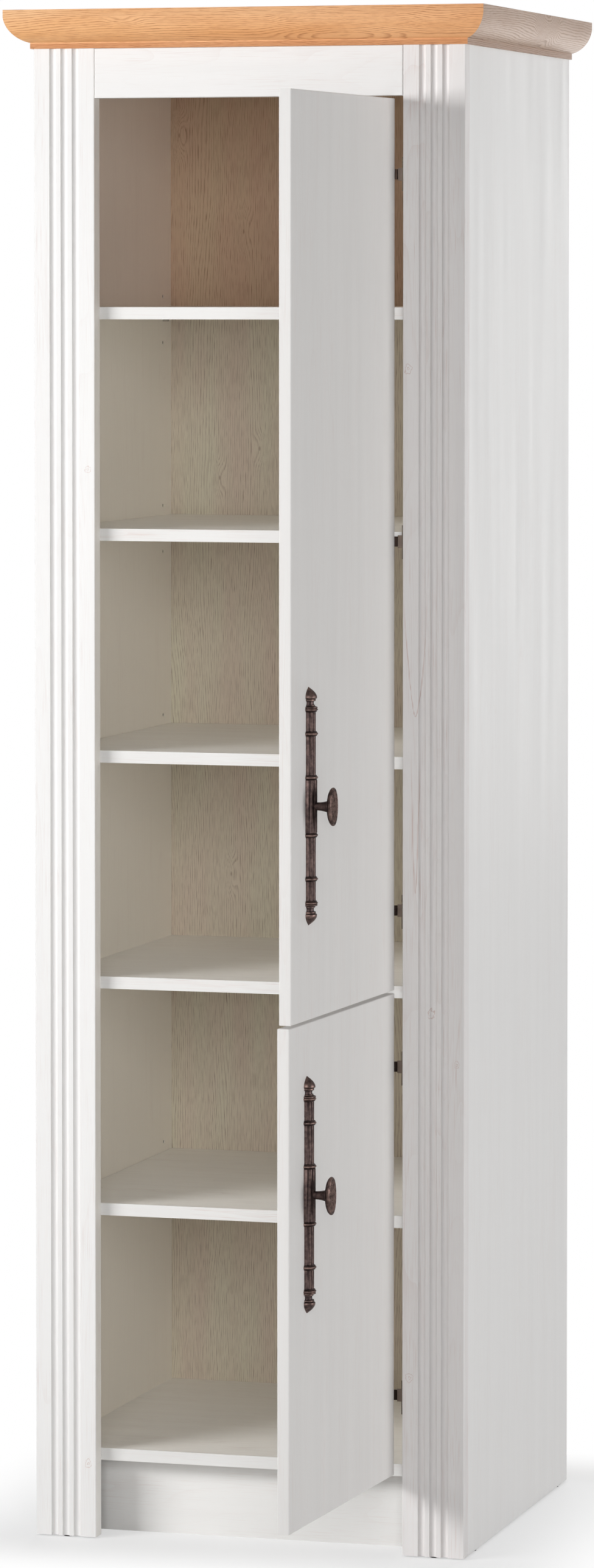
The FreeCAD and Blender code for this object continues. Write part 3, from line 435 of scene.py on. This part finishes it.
# The returns' greyer, pinker print is painted shade
return_oak = oak_foil(
    "painted_shade_oak_return", 1, 2, 2.6, 14.0,
    (((cornice_high.x, 0.24, crown_z + 0.012), 0.030, 8.0),
     ((cornice_high.x, 0.27, crown_z - 0.016), 0.028, -6.0)),
    (0.4, 26), 0.42, 0.5, "#a6876f", "#b79b86", "#70523c", "#83654f", painted_shade_tint("#ffffff", "#efe8e4"))
dress(front_oak, "cornice_front")
dress(return_oak, "cornice_left", "cornice_right")


# Back
# Two 3 mm hardboard sheets in grooves, printed as limed oak with the grain upright: open brown pores on a
# grey-beige ground, browner in the top bay as painted shade. A white plastic strip joins them behind the
# fixed shelf.
def top_bay_painted_shade(tree, spot):
    """Painted shade: browner in the top bay."""
    above = add(tree, "ShaderNodeMath", {0: spot[2], 1: TOP_BAY}, operation="GREATER_THAN")
    return add(tree, "ShaderNodeMix", {0: above, 6: (1, 1, 1, 1), 7: linear("#ead5c6")},
               data_type="RGBA").outputs[2]


PRINT_DEEP = 0.0025
back_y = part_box("back_panel_upper")[0].y
# Its top bay is darkened as painted shade
back_foil = oak_foil(
    "limed_oak_back", 2, 0, 2.7, 19.0,
    (((-0.170, back_y, 1.726), 0.020, 3.0), ((-0.205, back_y, 1.3835), 0.014, 2.5),
     ((-0.147, back_y, 1.4245), 0.014, -2.5), ((-0.1885, back_y, 0.830), 0.016, 3.0),
     ((-0.264, back_y, 1.86), 0.018, 5.0), ((0.120, back_y, 1.160), 0.018, 3.0),
     ((0.150, back_y, 0.300), 0.016, -3.0)),
    (0.5, 24), 0.64, 0.12, "#d9c9b9", "#dad4bf", "#7c5d4b", "#bcaa93", top_bay_painted_shade)
dress(back_foil, "back_panel_upper", "back_panel_lower")

# The rear of each sheet is bare hardboard: brown pressed fibres, dull and slightly mottled
tree = back_foil.node_tree
shader = tree.nodes["Principled BSDF"]
printed = shader.inputs["Base Color"].links[0].from_socket
place = add(tree, "ShaderNodeTexCoord").outputs["Object"]
spot = add(tree, "ShaderNodeSeparateXYZ", {0: place}).outputs
rear = add(tree, "ShaderNodeMath", {0: spot[1], 1: back_y + PRINT_DEEP}, operation="GREATER_THAN")
clouds = add(tree, "ShaderNodeTexNoise", {"Vector": place, "Scale": 14.0, "Detail": 3.0})
fibres = add(tree, "ShaderNodeTexNoise", {"Vector": place, "Scale": 600.0, "Detail": 2.0})
pulp = add(tree, "ShaderNodeMix", {0: clouds, 6: linear("#9a7a58"), 7: linear("#866747")}, data_type="RGBA")
pulp = add(tree, "ShaderNodeMix", {0: fibres, 6: pulp.outputs[2], 7: linear("#a88a68")}, data_type="RGBA")
faces = add(tree, "ShaderNodeMix", {0: rear, 6: printed, 7: pulp.outputs[2]}, data_type="RGBA")
tree.links.new(faces.outputs[2], shader.inputs["Base Color"])


def deepened(hex_colour, share):
    """Linear colour of an sRGB hex value, with its light cut to a share."""
    return [c * share for c in linear(hex_colour)[:3]] + [1.0]


def moulded(name, tone, roughness, grain_size, ior=None, depth=0.00002):
    """Injection-moulded plastic, or a plated or cast metal skin where no ior is given: one colour with a
    slight mottle and a fine texture, so highlights break up at the edges. grain_size is in mm, drawn coarse
    enough to show, and depth is the texture's in metres."""
    material, tree, shader, place = new_finish(name)
    mottle = add(tree, "ShaderNodeTexNoise", {"Vector": place, "Scale": 120.0, "Detail": 2.0}).outputs[0]
    grain = add(tree, "ShaderNodeTexNoise", {"Vector": place, "Scale": 1000 / grain_size, "Detail": 1.0})
    colour = add(tree, "ShaderNodeMix", {0: mottle, 6: linear(tone), 7: deepened(tone, 0.82)},
                 data_type="RGBA")
    sheen = add(tree, "ShaderNodeMapRange", {0: mottle, 1: 0.3, 2: 0.7, 3: roughness * 0.9,
                                             4: roughness * 1.15})
    lay_on(tree, colour.outputs[2], sheen.outputs[0], grain.outputs[0], 0.3, depth)
    if ior:
        shader.inputs["IOR"].default_value = ior
    else:
        shader.inputs["Metallic"].default_value = 1.0
    return material


dress(moulded("white_polystyrene", "#ecebe7", 0.4, 0.6, ior=1.59, depth=0.00003), "back_joint_strip")


# Doors
# Two plain slab doors of 16 mm chipboard in the foil, banded on all edges and hung on the right pilaster.
# The grain runs up both doors, and their tone is greyer than the front's: painted shade on the doors.
dress(pine_foil("whitewashed_pine_door_painted_shade", 2, tone="#dddbd9", depth=0.6)[0], "door_upper", "door_lower")


# Handles
# Each door has a half-round zinc back plate, reeded between beaded collars and with an acorn at each end, and
# an oval knob on a flared stem, its face cut in a waffle. Both are cast, plated, browned and worn on edges.
bronze, tree, shader, place = new_finish("browned_antique_bronze")
rub = add(tree, "ShaderNodeAttribute", attribute_name="rub").outputs["Fac"]
patches = add(tree, "ShaderNodeTexNoise", {"Vector": place, "Scale": 210.0, "Detail": 3.0}).outputs[0]
specks = add(tree, "ShaderNodeTexNoise", {"Vector": place, "Scale": 1300.0, "Detail": 2.0}).outputs[0]
worn = add(tree, "ShaderNodeMapRange", {0: patches, 1: 0.35, 2: 0.7, 3: 0.15, 4: 1.0})
worn = add(tree, "ShaderNodeMath", {0: worn, 1: rub}, operation="MULTIPLY")
freckle = add(tree, "ShaderNodeMapRange", {0: specks, 1: 0.60, 2: 0.72, 3: 0.0, 4: 0.35})
worn = add(tree, "ShaderNodeMath", {0: worn, 1: freckle}, operation="ADD", use_clamp=True)
brown = add(tree, "ShaderNodeMix", {0: patches, 6: linear("#332a2a"), 7: linear("#4c4040")}, data_type="RGBA")
brown = add(tree, "ShaderNodeMix", {0: worn, 6: brown.outputs[2], 7: linear("#957c73")}, data_type="RGBA")
shader.inputs["Metallic"].default_value = 1.0
dull = add(tree, "ShaderNodeMapRange", {0: specks, 1: 0.3, 2: 0.7, 3: 0.34, 4: 0.5})
lay_on(tree, brown.outputs[2], dull.outputs[0], specks, 0.4, 0.00006)

MM = 0.001
# Outline of the turned plate in mm. A bead is heights and radii, from the end that is nearer the middle.
BEAD = [(0.0, 10.3), (0.7, 10.9), (1.1, 10.5), (1.5, 11.4), (2.2, 12.0), (2.85, 12.1), (3.5, 12.0),
        (4.2, 11.4), (4.6, 10.5), (5.0, 10.9), (5.7, 10.3)]
END_BEAD = [(0.0, 10.2), (0.8, 10.9), (1.3, 10.4), (1.8, 11.5), (2.6, 12.0), (3.2, 12.0), (3.9, 11.3),
            (4.3, 10.8), (4.9, 11.5), (5.6, 11.6), (6.3, 11.0), (6.9, 9.6)]
# Neck, collar and acorn past the end bead: height, radius, and how far it is rubbed bright
ACORN = [(0.3, 8.2, 0.1), (1.0, 8.6, 0.8), (1.7, 8.2, 0.2), (2.0, 7.1, 0.0), (4.0, 6.8, 0.1), (6.2, 7.1, 0.0),
         (6.5, 8.9, 0.2), (7.4, 9.4, 0.9), (8.6, 9.4, 0.9), (9.3, 8.8, 0.1), (9.5, 10.2, 0.2),
         (10.2, 10.8, 0.7), (11.6, 10.9, 0.8), (13.4, 10.5, 0.6), (15.6, 9.4, 0.5), (18.0, 7.6, 0.5),
         (20.2, 5.3, 0.6), (22.2, 2.7, 0.8), (23.6, 0.9, 0.95), (24.1, 0.02, 0.95)]
MIDDLE_RADIUS, MIDDLE_REEDED, MIDDLE_HALF = 11.2, 32.2, 33.0
ROD_RADIUS, LONG_ROD, SHORT_ROD = 9.3, 48.7, 24.3
ROD_PLAIN, ROD_REEDED = 0.4, 1.0
REEDS, GROOVE_DEEP, GROOVE_HALF = 6, 0.8, 0.15
TURN_STEPS = 96


def bead_rub(radius, crest):
    """How far a bead is rubbed bright: most on its crest, least in its hollows."""
    if radius > crest - 0.25:
        return 0.95
    return 0.6 if radius > 10.7 else 0.15


def plate_rows():
    """Height, radius, reeding and rub of the turned plate from its middle up, in mm and shares."""
    rows = [(0.0, MIDDLE_RADIUS, 1, 0.35), (MIDDLE_REEDED, MIDDLE_RADIUS, 1, 0.35),
            (MIDDLE_HALF, MIDDLE_RADIUS - 0.3, 0, 0.1)]
    height = MIDDLE_HALF
    for bead, rod in ((BEAD, LONG_ROD), (BEAD, SHORT_ROD), (END_BEAD, 0)):
        crest = max(r for _, r in bead)
        rows += [(height + h, r, 0, bead_rub(r, crest)) for h, r in bead]
        height += bead[-1][0]
        if rod:
            rows += [(height + ROD_PLAIN, ROD_RADIUS, 0, 0.1), (height + ROD_REEDED, ROD_RADIUS, 1, 0.35),
                     (height + rod - ROD_REEDED, ROD_RADIUS, 1, 0.35),
                     (height + rod - ROD_PLAIN, ROD_RADIUS, 0, 0.1)]
            height += rod
    return rows + [(height + h, r, 0, rub) for h, r, rub in ACORN]


def groove(turn):
    """Depth in mm of the grooves between the reeds, at an angle round the half plate."""
    nearest = min(abs(turn - math.pi * k / REEDS) for k in range(1, REEDS))
    return GROOVE_DEEP * max(0.0, math.cos(min(1.0, nearest / GROOVE_HALF) * math.pi / 2))


def closed_mesh(name, points, faces, merge=0.0):
    """A mesh whose faces point outwards. Points within the distance merge of each other become one."""
    mesh = bpy.data.meshes.new(name)
    mesh.from_pydata(points, [], faces)
    shape = bmesh.new()
    shape.from_mesh(mesh)
    if merge:
        bmesh.ops.remove_doubles(shape, verts=shape.verts, dist=merge)
    bmesh.ops.recalc_face_normals(shape, faces=shape.faces)
    shape.to_mesh(mesh)
    shape.free()
    return mesh


def bronze_piece(name, points, faces, rubs):
    """A closed piece in the bronze, smooth, with how far each point is rubbed bright."""
    mesh = closed_mesh(name, points, faces)
    mesh.polygons.foreach_set("use_smooth", [True] * len(mesh.polygons))
    mesh.attributes.new("rub", "FLOAT", "POINT").data.foreach_set("value", rubs)
    mesh.materials.append(bronze)
    piece = bpy.data.objects.new(name, mesh)
    scene.collection.objects.link(piece)
    return piece


def turned_plate(name, to_door):
    """The half-round plate, its flat back on the door."""
    upper = plate_rows()
    rows = [(-h, r, reed, rub) for h, r, reed, rub in reversed(upper[1:])] + upper
    points, rubs, faces = [], [], []
    for height, radius, reed, rub in rows:
        for step in range(TURN_STEPS + 1):
            turn = math.pi * step / TURN_STEPS
            depth = groove(turn) * reed
            out = (radius - depth) * MM
            points.append(to_door @ Vector((-out * math.cos(turn), height * MM, out * math.sin(turn))))
            rubs.append(rub * (0.35 if depth > 0.2 else 1.0))
    across = TURN_STEPS + 1
    for row in range(len(rows) - 1):
        start = row * across
        faces += [(start + k, start + k + 1, start + across + k + 1, start + across + k)
                  for k in range(TURN_STEPS)]
        faces.append((start + TURN_STEPS, start, start + across, start + across + TURN_STEPS))
    faces.append(tuple(range(across)))
    faces.append(tuple(range((len(rows) - 1) * across, len(rows) * across)))
    piece = bronze_piece(name, points, faces, rubs)
    piece.data.set_sharp_from_angle(angle=math.radians(60))
    return piece


# Knob, from its root on the plate outwards, with height and rub last. The stem's first number is its radius
# in mm and the button's is a share of its oval, whose half sizes follow. The face starts inside the rim.
STEM = [(4.7, 8.0, 0.2), (5.0, 9.4, 0.3), (5.1, 12.0, 0.3), (5.3, 16.0, 0.3), (5.8, 20.0, 0.3),
        (6.5, 23.0, 0.3), (7.2, 25.0, 0.2), (8.2, 26.6, 0.1)]
FACE_HEIGHT = 34.15
BUTTON = [(0.0, 25.5, 0.1), (0.30, 25.7, 0.1), (0.55, 26.3, 0.2), (0.75, 27.5, 0.3), (0.90, 29.2, 0.5),
          (0.975, 30.9, 0.7), (1.0, 32.4, 0.8), (0.985, 33.7, 0.9), (0.955, 34.5, 0.9), (0.92, 34.75, 0.9),
          (0.885, 34.4, 0.2), (0.86, FACE_HEIGHT, 0.0), (0.70, 34.4, 0.0), (0.40, 34.65, 0.0),
          (0.0, 34.75, 0.0)]
BUTTON_HALF = (13.5, 24.0)
# The least radius or share of a ring, so that its points stay apart
POLE = 0.002
ROUND_STEPS = 72

# Waffle: blunt pyramids set out on a diamond lattice over the oval face, lifted onto its low dome
WAFFLE = {"Half width": 0.0112, "Half height": 0.0200, "Pitch": 0.0023, "Bump height": 0.0007,
          "Dome": 0.0006}
LATTICE_POINTS = 27
# The bumps start a little under the face, and what is higher than this on them is rubbed bright
WAFFLE_SUNK, TOPS_ABOVE, TOPS_RUB = 0.00005, 0.0006, 1.8
waffle = bpy.data.node_groups.new("diamond_waffle", "GeometryNodeTree")
for socket in WAFFLE:
    waffle.interface.new_socket(socket, in_out="INPUT", socket_type="NodeSocketFloat")
waffle.interface.new_socket("Metal", in_out="INPUT", socket_type="NodeSocketMaterial")
waffle.interface.new_socket("Geometry", in_out="OUTPUT", socket_type="NodeSocketGeometry")
given = add(waffle, "NodeGroupInput").outputs
lattice_size = (LATTICE_POINTS - 1) * WAFFLE["Pitch"]
lattice = add(waffle, "GeometryNodeMeshGrid", {"Size X": lattice_size, "Size Y": lattice_size,
                                               "Vertices X": LATTICE_POINTS, "Vertices Y": LATTICE_POINTS})
diamond = add(waffle, "GeometryNodeTransform", {"Geometry": lattice.outputs["Mesh"],
                                                "Rotation": (0, 0, math.radians(45))})
spot = add(waffle, "GeometryNodeInputPosition").outputs[0]
x, y = add(waffle, "ShaderNodeSeparateXYZ", {0: spot}).outputs[:2]
x = add(waffle, "ShaderNodeMath", {0: x, 1: given["Half width"]}, operation="DIVIDE")
y = add(waffle, "ShaderNodeMath", {0: y, 1: given["Half height"]}, operation="DIVIDE")
x = add(waffle, "ShaderNodeMath", {0: x, 1: 2.0}, operation="POWER")
y = add(waffle, "ShaderNodeMath", {0: y, 1: 2.0}, operation="POWER")
away = add(waffle, "ShaderNodeMath", {0: x, 1: y}, operation="ADD")
outside = add(waffle, "FunctionNodeCompare", {0: away, 1: 1.0}, data_type="FLOAT", operation="GREATER_THAN")
kept = add(waffle, "GeometryNodeDeleteGeometry",
           {"Geometry": diamond, "Selection": outside}, domain="POINT")
foot = add(waffle, "ShaderNodeMath", {0: given["Pitch"], 1: 0.64}, operation="MULTIPLY")
crown = add(waffle, "ShaderNodeMath", {0: given["Pitch"], 1: 0.26}, operation="MULTIPLY")
bump = add(waffle, "GeometryNodeMeshCone", {"Vertices": 4, "Radius Bottom": foot,
                                            "Radius Top": crown, "Depth": given["Bump height"]})
bumps = add(waffle, "GeometryNodeInstanceOnPoints",
            {"Points": kept, "Instance": bump.outputs["Mesh"]})
solid = add(waffle, "GeometryNodeRealizeInstances", {"Geometry": bumps})
fall = add(waffle, "ShaderNodeMath", {0: 1.0, 1: away}, operation="SUBTRACT")
lift = add(waffle, "ShaderNodeMath", {0: fall, 1: given["Dome"]}, operation="MULTIPLY")
lift = add(waffle, "ShaderNodeCombineXYZ", {2: lift})
domed = add(waffle, "GeometryNodeSetPosition", {"Geometry": solid, "Offset": lift})
metal = add(waffle, "GeometryNodeSetMaterial", {"Geometry": domed, "Material": given["Metal"]})
add(waffle, "NodeGroupOutput", {0: metal})


def grown(tree_group, values, carrier=None):
    """The plain mesh that a geometry tree makes, with its named inputs set first."""
    if carrier is None:
        carrier = bpy.data.objects.new("carrier", bpy.data.meshes.new("carrier"))
    scene.collection.objects.link(carrier)
    modifier = carrier.modifiers.new("made", "NODES")
    modifier.node_group = tree_group
    sockets = {s.name: s.identifier for s in tree_group.interface.items_tree if s.in_out == "INPUT"}
    for name, value in values.items():
        modifier[sockets[name]] = value
    bpy.context.view_layer.update()
    made = carrier.evaluated_get(bpy.context.evaluated_depsgraph_get())
    mesh = bpy.data.meshes.new_from_object(made)
    carrier.modifiers.remove(modifier)
    bpy.data.objects.remove(carrier)
    return mesh


waffle_mesh = grown(waffle, {**WAFFLE, "Metal": bronze})


def band_faces(first, rings, steps):
    """Faces between rings of points that follow each other from a first point on, each ring closed."""
    return [(start + k, start + (k + 1) % steps, start + steps + (k + 1) % steps, start + steps + k)
            for start in range(first, first + (rings - 1) * steps, steps) for k in range(steps)]


def turned_knob(name, to_door):
    """Flared stem and oval button in one piece, with the waffle on its face."""
    points, rubs, faces = [], [], []
    for rows, half in ((STEM, (1.0, 1.0)), (BUTTON, BUTTON_HALF)):
        first = len(points)
        for radius, height, rub in rows:
            spread = max(radius, POLE)
            for step in range(ROUND_STEPS):
                turn = 2 * math.pi * step / ROUND_STEPS
                points.append(to_door @ Vector((spread * half[0] * math.cos(turn) * MM,
                                                spread * half[1] * math.sin(turn) * MM, height * MM)))
                rubs.append(rub)
        faces += band_faces(first, len(rows), ROUND_STEPS)
        last = first + (len(rows) - 1) * ROUND_STEPS
        faces += [tuple(range(start, start + ROUND_STEPS)) for start in (first, last)]
    base, smooth = len(points), len(faces)
    seat = Vector((0, 0, FACE_HEIGHT * MM - WAFFLE_SUNK))
    for vertex in waffle_mesh.vertices:
        points.append(to_door @ (vertex.co + seat))
        rubs.append(TOPS_RUB if vertex.co.z > TOPS_ABOVE else 0.0)
    faces += [tuple(base + k for k in polygon.vertices) for polygon in waffle_mesh.polygons]
    piece = bronze_piece(name, points, faces, rubs)
    for polygon in piece.data.polygons[smooth:]:
        polygon.use_smooth = False
    return piece


plate_radius = max(radius for _, radius in BEAD) * MM
outward = {}
for door, hinge in zip(("upper", "lower"), frame["joints"]):
    swing = math.radians(-hinge["range_deg"][0])
    outward[door] = Vector((math.sin(swing), -math.cos(swing), 0))
    inward_edge = Vector((-math.cos(swing), -math.sin(swing), 0))
    low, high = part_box(door + "_handle_plate")
    centre = Vector((high.x - plate_radius, low.y + plate_radius, (low.z + high.z) / 2))
    to_door = Matrix((inward_edge, (0, 0, 1), outward[door])).transposed().to_4x4()
    to_door.translation = centre
    plate = turned_plate(door + "_reeded_plate", to_door)
    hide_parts(door + "_handle_plate")
    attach(plate, door + "_door")
    knob = turned_knob(door + "_oval_knob", to_door)
    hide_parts(door + "_knob")
    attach(knob, door + "_door")


# Hinges
# Five concealed hinges: a nickel-plated steel cup let into the door, with links in black plating, and a
# nickel-plated plate screwed to the pilaster, whose black lacquered arm has a burnished steel cover. The
# plate's nickel is drawn dark brown-grey, painted shade for the narrow gap it sits in.
def part_black(name, tone, axis, edge, side):
    """Nickel-plated steel, black past a place along an axis if side is 1, and short of it if it is -1."""
    material = moulded(name, tone, 0.3, 0.5)
    tree = material.node_tree
    shader = tree.nodes["Principled BSDF"]
    plated = shader.inputs["Base Color"].links[0].from_socket
    place = add(tree, "ShaderNodeTexCoord").outputs["Object"]
    spot = add(tree, "ShaderNodeSeparateXYZ", {0: place}).outputs
    past = add(tree, "ShaderNodeMath", {0: spot[axis], 1: side}, operation="MULTIPLY")
    past = add(tree, "ShaderNodeMath", {0: past, 1: edge * side}, operation="GREATER_THAN")
    colour = add(tree, "ShaderNodeMix", {0: past, 6: plated, 7: linear("#2b221e")}, data_type="RGBA")
    tree.links.new(colour.outputs[2], shader.inputs["Base Color"])
    return material


# The links stand out past the door's hinge edge, and the plate is what lies nearest the pilaster
PLATE_THICK = 0.0021
door_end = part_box("door_upper")[1].y + ON_FACE
plate_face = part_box("upper_hinge_arms")[1].x - PLATE_THICK
cup_steel = part_black("nickel_cup_with_black_links", "#b9b6b1", 1, door_end, 1)
# The plate's dark brown-grey tone is painted shade on the nickel
arm_steel = part_black("shade_darkened_nickel_plate_with_black_arm", "#6f655a", 0, plate_face, -1)
dress(cup_steel, "upper_hinge_cups", "lower_hinge_cups")
dress(arm_steel, "upper_hinge_arms", "lower_hinge_arms")
dress(moulded("burnished_steel", "#8f8076", 0.36, 0.5), "hinge_arm_covers")


# Screws
# Cross-headed zinc-plated chipboard screws: domed heads over a threaded shank, for the hinges, handles, wall
# brackets and cornice blocks. Each set is driven where the model has it.
SAME_POINT, HEAD_FLAT = 1e-6, 0.0001


def solids(node):
    """The separate solids of a CAD node, each as the list of its points. A set has no fixed order, so solids
    whose heights overlap may change places from run to run, and screws then swap their turns."""
    shape = bmesh.new()
    shape.from_mesh(nodes[node].data)
    bmesh.ops.remove_doubles(shape, verts=shape.verts, dist=SAME_POINT)
    left, found = set(shape.verts), []
    while left:
        open_ends, solid = [left.pop()], []
        while open_ends:
            point = open_ends.pop()
            solid.append(point.co.copy())
            near = [e.other_vert(point) for e in point.link_edges]
            near = [v for v in near if v in left]
            left.difference_update(near)
            open_ends += near
        found.append(solid)
    shape.free()
    return sorted(found, key=lambda s: (round(s[0].z, 4), round(s[0].x, 4), round(s[0].y, 4)))


def driven(node, direction):
    """Where each screw of a node starts, with its length and head radius."""
    places = []
    for solid in solids(node):
        depths = [p.dot(direction) for p in solid]
        head = [p for p, d in zip(solid, depths) if d < min(depths) + HEAD_FLAT]
        centre = sum(head, Vector()) / len(head)
        places.append((centre, max(depths) - min(depths), max((p - centre).length for p in head)))
    return places


zinc = moulded("zinc_plated_steel", "#c4c2bd", 0.33, 0.4)

HEAD_RINGS, HEAD_STEPS, THREADS = 9, 32, 7
# Shares of the screw's length: its head, how deep the cross is cut, and how far the head's middle is domed
HEAD, CROSS_DEEP, DOME = 0.09, 0.06, 0.03
# Shares of the head's radius: half an arm's width and an arm's reach
CROSS_HALF, CROSS_REACH = 0.13, 0.55


def screw_blank():
    """One screw of unit head radius and unit length, head at the origin and shank along +z."""
    circle = [(math.cos(2 * math.pi * k / HEAD_STEPS), math.sin(2 * math.pi * k / HEAD_STEPS))
              for k in range(HEAD_STEPS)]
    points = []
    for ring in range(HEAD_RINGS + 1):
        reach = ring / HEAD_RINGS
        for across, along in circle:
            narrow, wide = sorted((abs(reach * across), abs(reach * along)))
            in_cross = narrow < CROSS_HALF and wide < CROSS_REACH
            sunk = (CROSS_DEEP if in_cross else 0.0) + DOME * reach * reach
            points.append((reach * across, reach * along, sunk))
    profile = [(1.0, HEAD * 0.7), (0.85, HEAD), (0.42, HEAD * 1.4)]
    pitch = (0.9 - HEAD * 1.6) / THREADS
    for thread in range(THREADS):
        low = HEAD * 1.6 + pitch * thread
        profile += [(0.40, low), (0.53, low + pitch * 0.5), (0.40, low + pitch * 0.95)]
    profile += [(0.36, 0.93), (0.02, 1.0)]
    for radius, height in profile:
        points += [(radius * across, radius * along, height) for across, along in circle]
    rings = HEAD_RINGS + 1 + len(profile)
    faces = band_faces(0, rings, HEAD_STEPS)
    faces.append(tuple(range((rings - 1) * HEAD_STEPS, rings * HEAD_STEPS)))
    blank = bpy.data.objects.new("screw_blank", closed_mesh("screw_blank", points, faces, merge=1e-5))
    scene.collection.objects.link(blank)
    return blank


drive = bpy.data.node_groups.new("screws_driven", "GeometryNodeTree")
drive.interface.new_socket("Geometry", in_out="INPUT", socket_type="NodeSocketGeometry")
for socket, kind in (("Blank", "NodeSocketObject"), ("Head radius", "NodeSocketFloat"),
                     ("Length", "NodeSocketFloat"), ("Direction", "NodeSocketVector"),
                     ("Seed", "NodeSocketInt"), ("Metal", "NodeSocketMaterial")):
    drive.interface.new_socket(socket, in_out="INPUT", socket_type=kind)
drive.interface.new_socket("Geometry", in_out="OUTPUT", socket_type="NodeSocketGeometry")
given = add(drive, "NodeGroupInput").outputs
blank = add(drive, "GeometryNodeObjectInfo", {"Object": given["Blank"]})
facing = add(drive, "FunctionNodeAlignRotationToVector", {"Vector": given["Direction"]}, axis="Z")
turned = add(drive, "FunctionNodeRandomValue", {2: 0.0, 3: math.pi, "Seed": given["Seed"]}, data_type="FLOAT")
turned = add(drive, "ShaderNodeCombineXYZ", {2: turned.outputs[1]})
turned = add(drive, "FunctionNodeEulerToRotation", {0: turned})
facing = add(drive, "FunctionNodeRotateRotation",
             {"Rotation": facing, "Rotate By": turned}, rotation_space="LOCAL")
size = add(drive, "ShaderNodeCombineXYZ",
           {0: given["Head radius"], 1: given["Head radius"], 2: given["Length"]})
screws = add(drive, "GeometryNodeInstanceOnPoints", {
    "Points": given["Geometry"], "Instance": blank.outputs["Geometry"], "Rotation": facing,
    "Scale": size})
solid = add(drive, "GeometryNodeRealizeInstances", {"Geometry": screws})
metal = add(drive, "GeometryNodeSetMaterial", {"Geometry": solid, "Material": given["Metal"]})
add(drive, "NodeGroupOutput", {0: metal})

FIRST_SEED = 11
RIGHT, UP = Vector((1, 0, 0)), Vector((0, 0, 1))
blank = screw_blank()
for row, (node, direction, body) in enumerate((
        ("hinge_plate_screws", RIGHT, "cabinet"), ("bracket_screws", UP, "cabinet"),
        ("cornice_screws", UP, "cabinet"), ("upper_cup_screws", outward["upper"], "upper_door"),
        ("lower_cup_screws", outward["lower"], "lower_door"),
        ("upper_handle_screws", outward["upper"], "upper_door"),
        ("lower_handle_screws", outward["lower"], "lower_door"))):
    places = driven(node, direction)
    marks = bpy.data.meshes.new("marks")
    marks.from_pydata([place for place, _, _ in places], [], [])
    mesh = grown(drive, {"Blank": blank, "Head radius": places[0][2], "Length": places[0][1],
                         "Direction": direction, "Seed": FIRST_SEED + row, "Metal": zinc},
                 bpy.data.objects.new("marks", marks))
    piece = bpy.data.objects.new(node.replace("_screws", "_cross_screws"), mesh)
    scene.collection.objects.link(piece)
    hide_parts(node)
    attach(piece, body)
bpy.data.objects.remove(blank)


# Knock-down fittings
# Die-cast cam locks with steel bolts and beech dowels join the boards, and dowels hold the front frame. Steel
# pins carry the loose shelves, and steel nails hold the back.
dress(moulded("die_cast_zinc", "#a9a8a4", 0.42, 0.5, depth=0.00004), "cam_locks")
dress(zinc, "cam_bolts", "shelf_pins", "back_nails")


def bare_wood(name, grain, tone, line):
    """Bare wood, straight-grained and unfinished: dull, with fine darker lines along the grain."""
    material, tree, _, place = new_finish(name)
    lines = streaks(tree, place, grain, 0.8, 18)
    broad = streaks(tree, place, grain, 6, 70)
    base = add(tree, "ShaderNodeMix", {0: broad, 6: linear(tone), 7: deepened(tone, 0.84)}, data_type="RGBA")
    mask = add(tree, "ShaderNodeMapRange", {0: lines, 1: 0.5, 2: 0.75, 3: 0.0, 4: 0.7})
    colour = add(tree, "ShaderNodeMix", {0: mask, 6: base.outputs[2], 7: linear(line)}, data_type="RGBA")
    dull = add(tree, "ShaderNodeMapRange", {0: lines, 1: 0.3, 2: 0.7, 3: 0.68, 4: 0.82})
    lay_on(tree, colour.outputs[2], dull.outputs[0], lines, 0.5, 0.0001)
    return material


BEECH = ("#d3aa7c", "#a87a4e")
dress(bare_wood("turned_beech_lying", 0, *BEECH), "board_dowels", "rail_dowels")
dress(bare_wood("turned_beech_deep", 1, *BEECH), "pilaster_dowels")


# Cornice carcass
# Sawn spruce inside the crown: a rail that closes it at the back, and a block in each corner, held by screws
# that come up through the top panel.
SPRUCE = ("#e2c79c", "#bf9763")
dress(bare_wood("sawn_spruce_rail", 0, *SPRUCE), "cornice_rear_rail")
dress(bare_wood("sawn_spruce_blocks", 2, *SPRUCE), "cornice_blocks")


# Small parts
# Pressed steel brackets that screw up into the top panel and back to the wall, black nylon glides nailed in
# from below, and clear silicone bumpers stuck on the doors' inner faces.
dress(moulded("zinc_plated_bracket", "#b9b6b1", 0.35, 0.5), "wall_brackets")
dress(moulded("black_nylon", "#2b231f", 0.45, 0.7, ior=1.53, depth=0.00003), "floor_glides")
silicone = moulded("clear_silicone", "#e9eceb", 0.22, 0.8, ior=1.41, depth=0.00003)
silicone.node_tree.nodes["Principled BSDF"].inputs["Transmission Weight"].default_value = 0.6
dress(silicone, "upper_door_bumpers", "lower_door_bumpers")
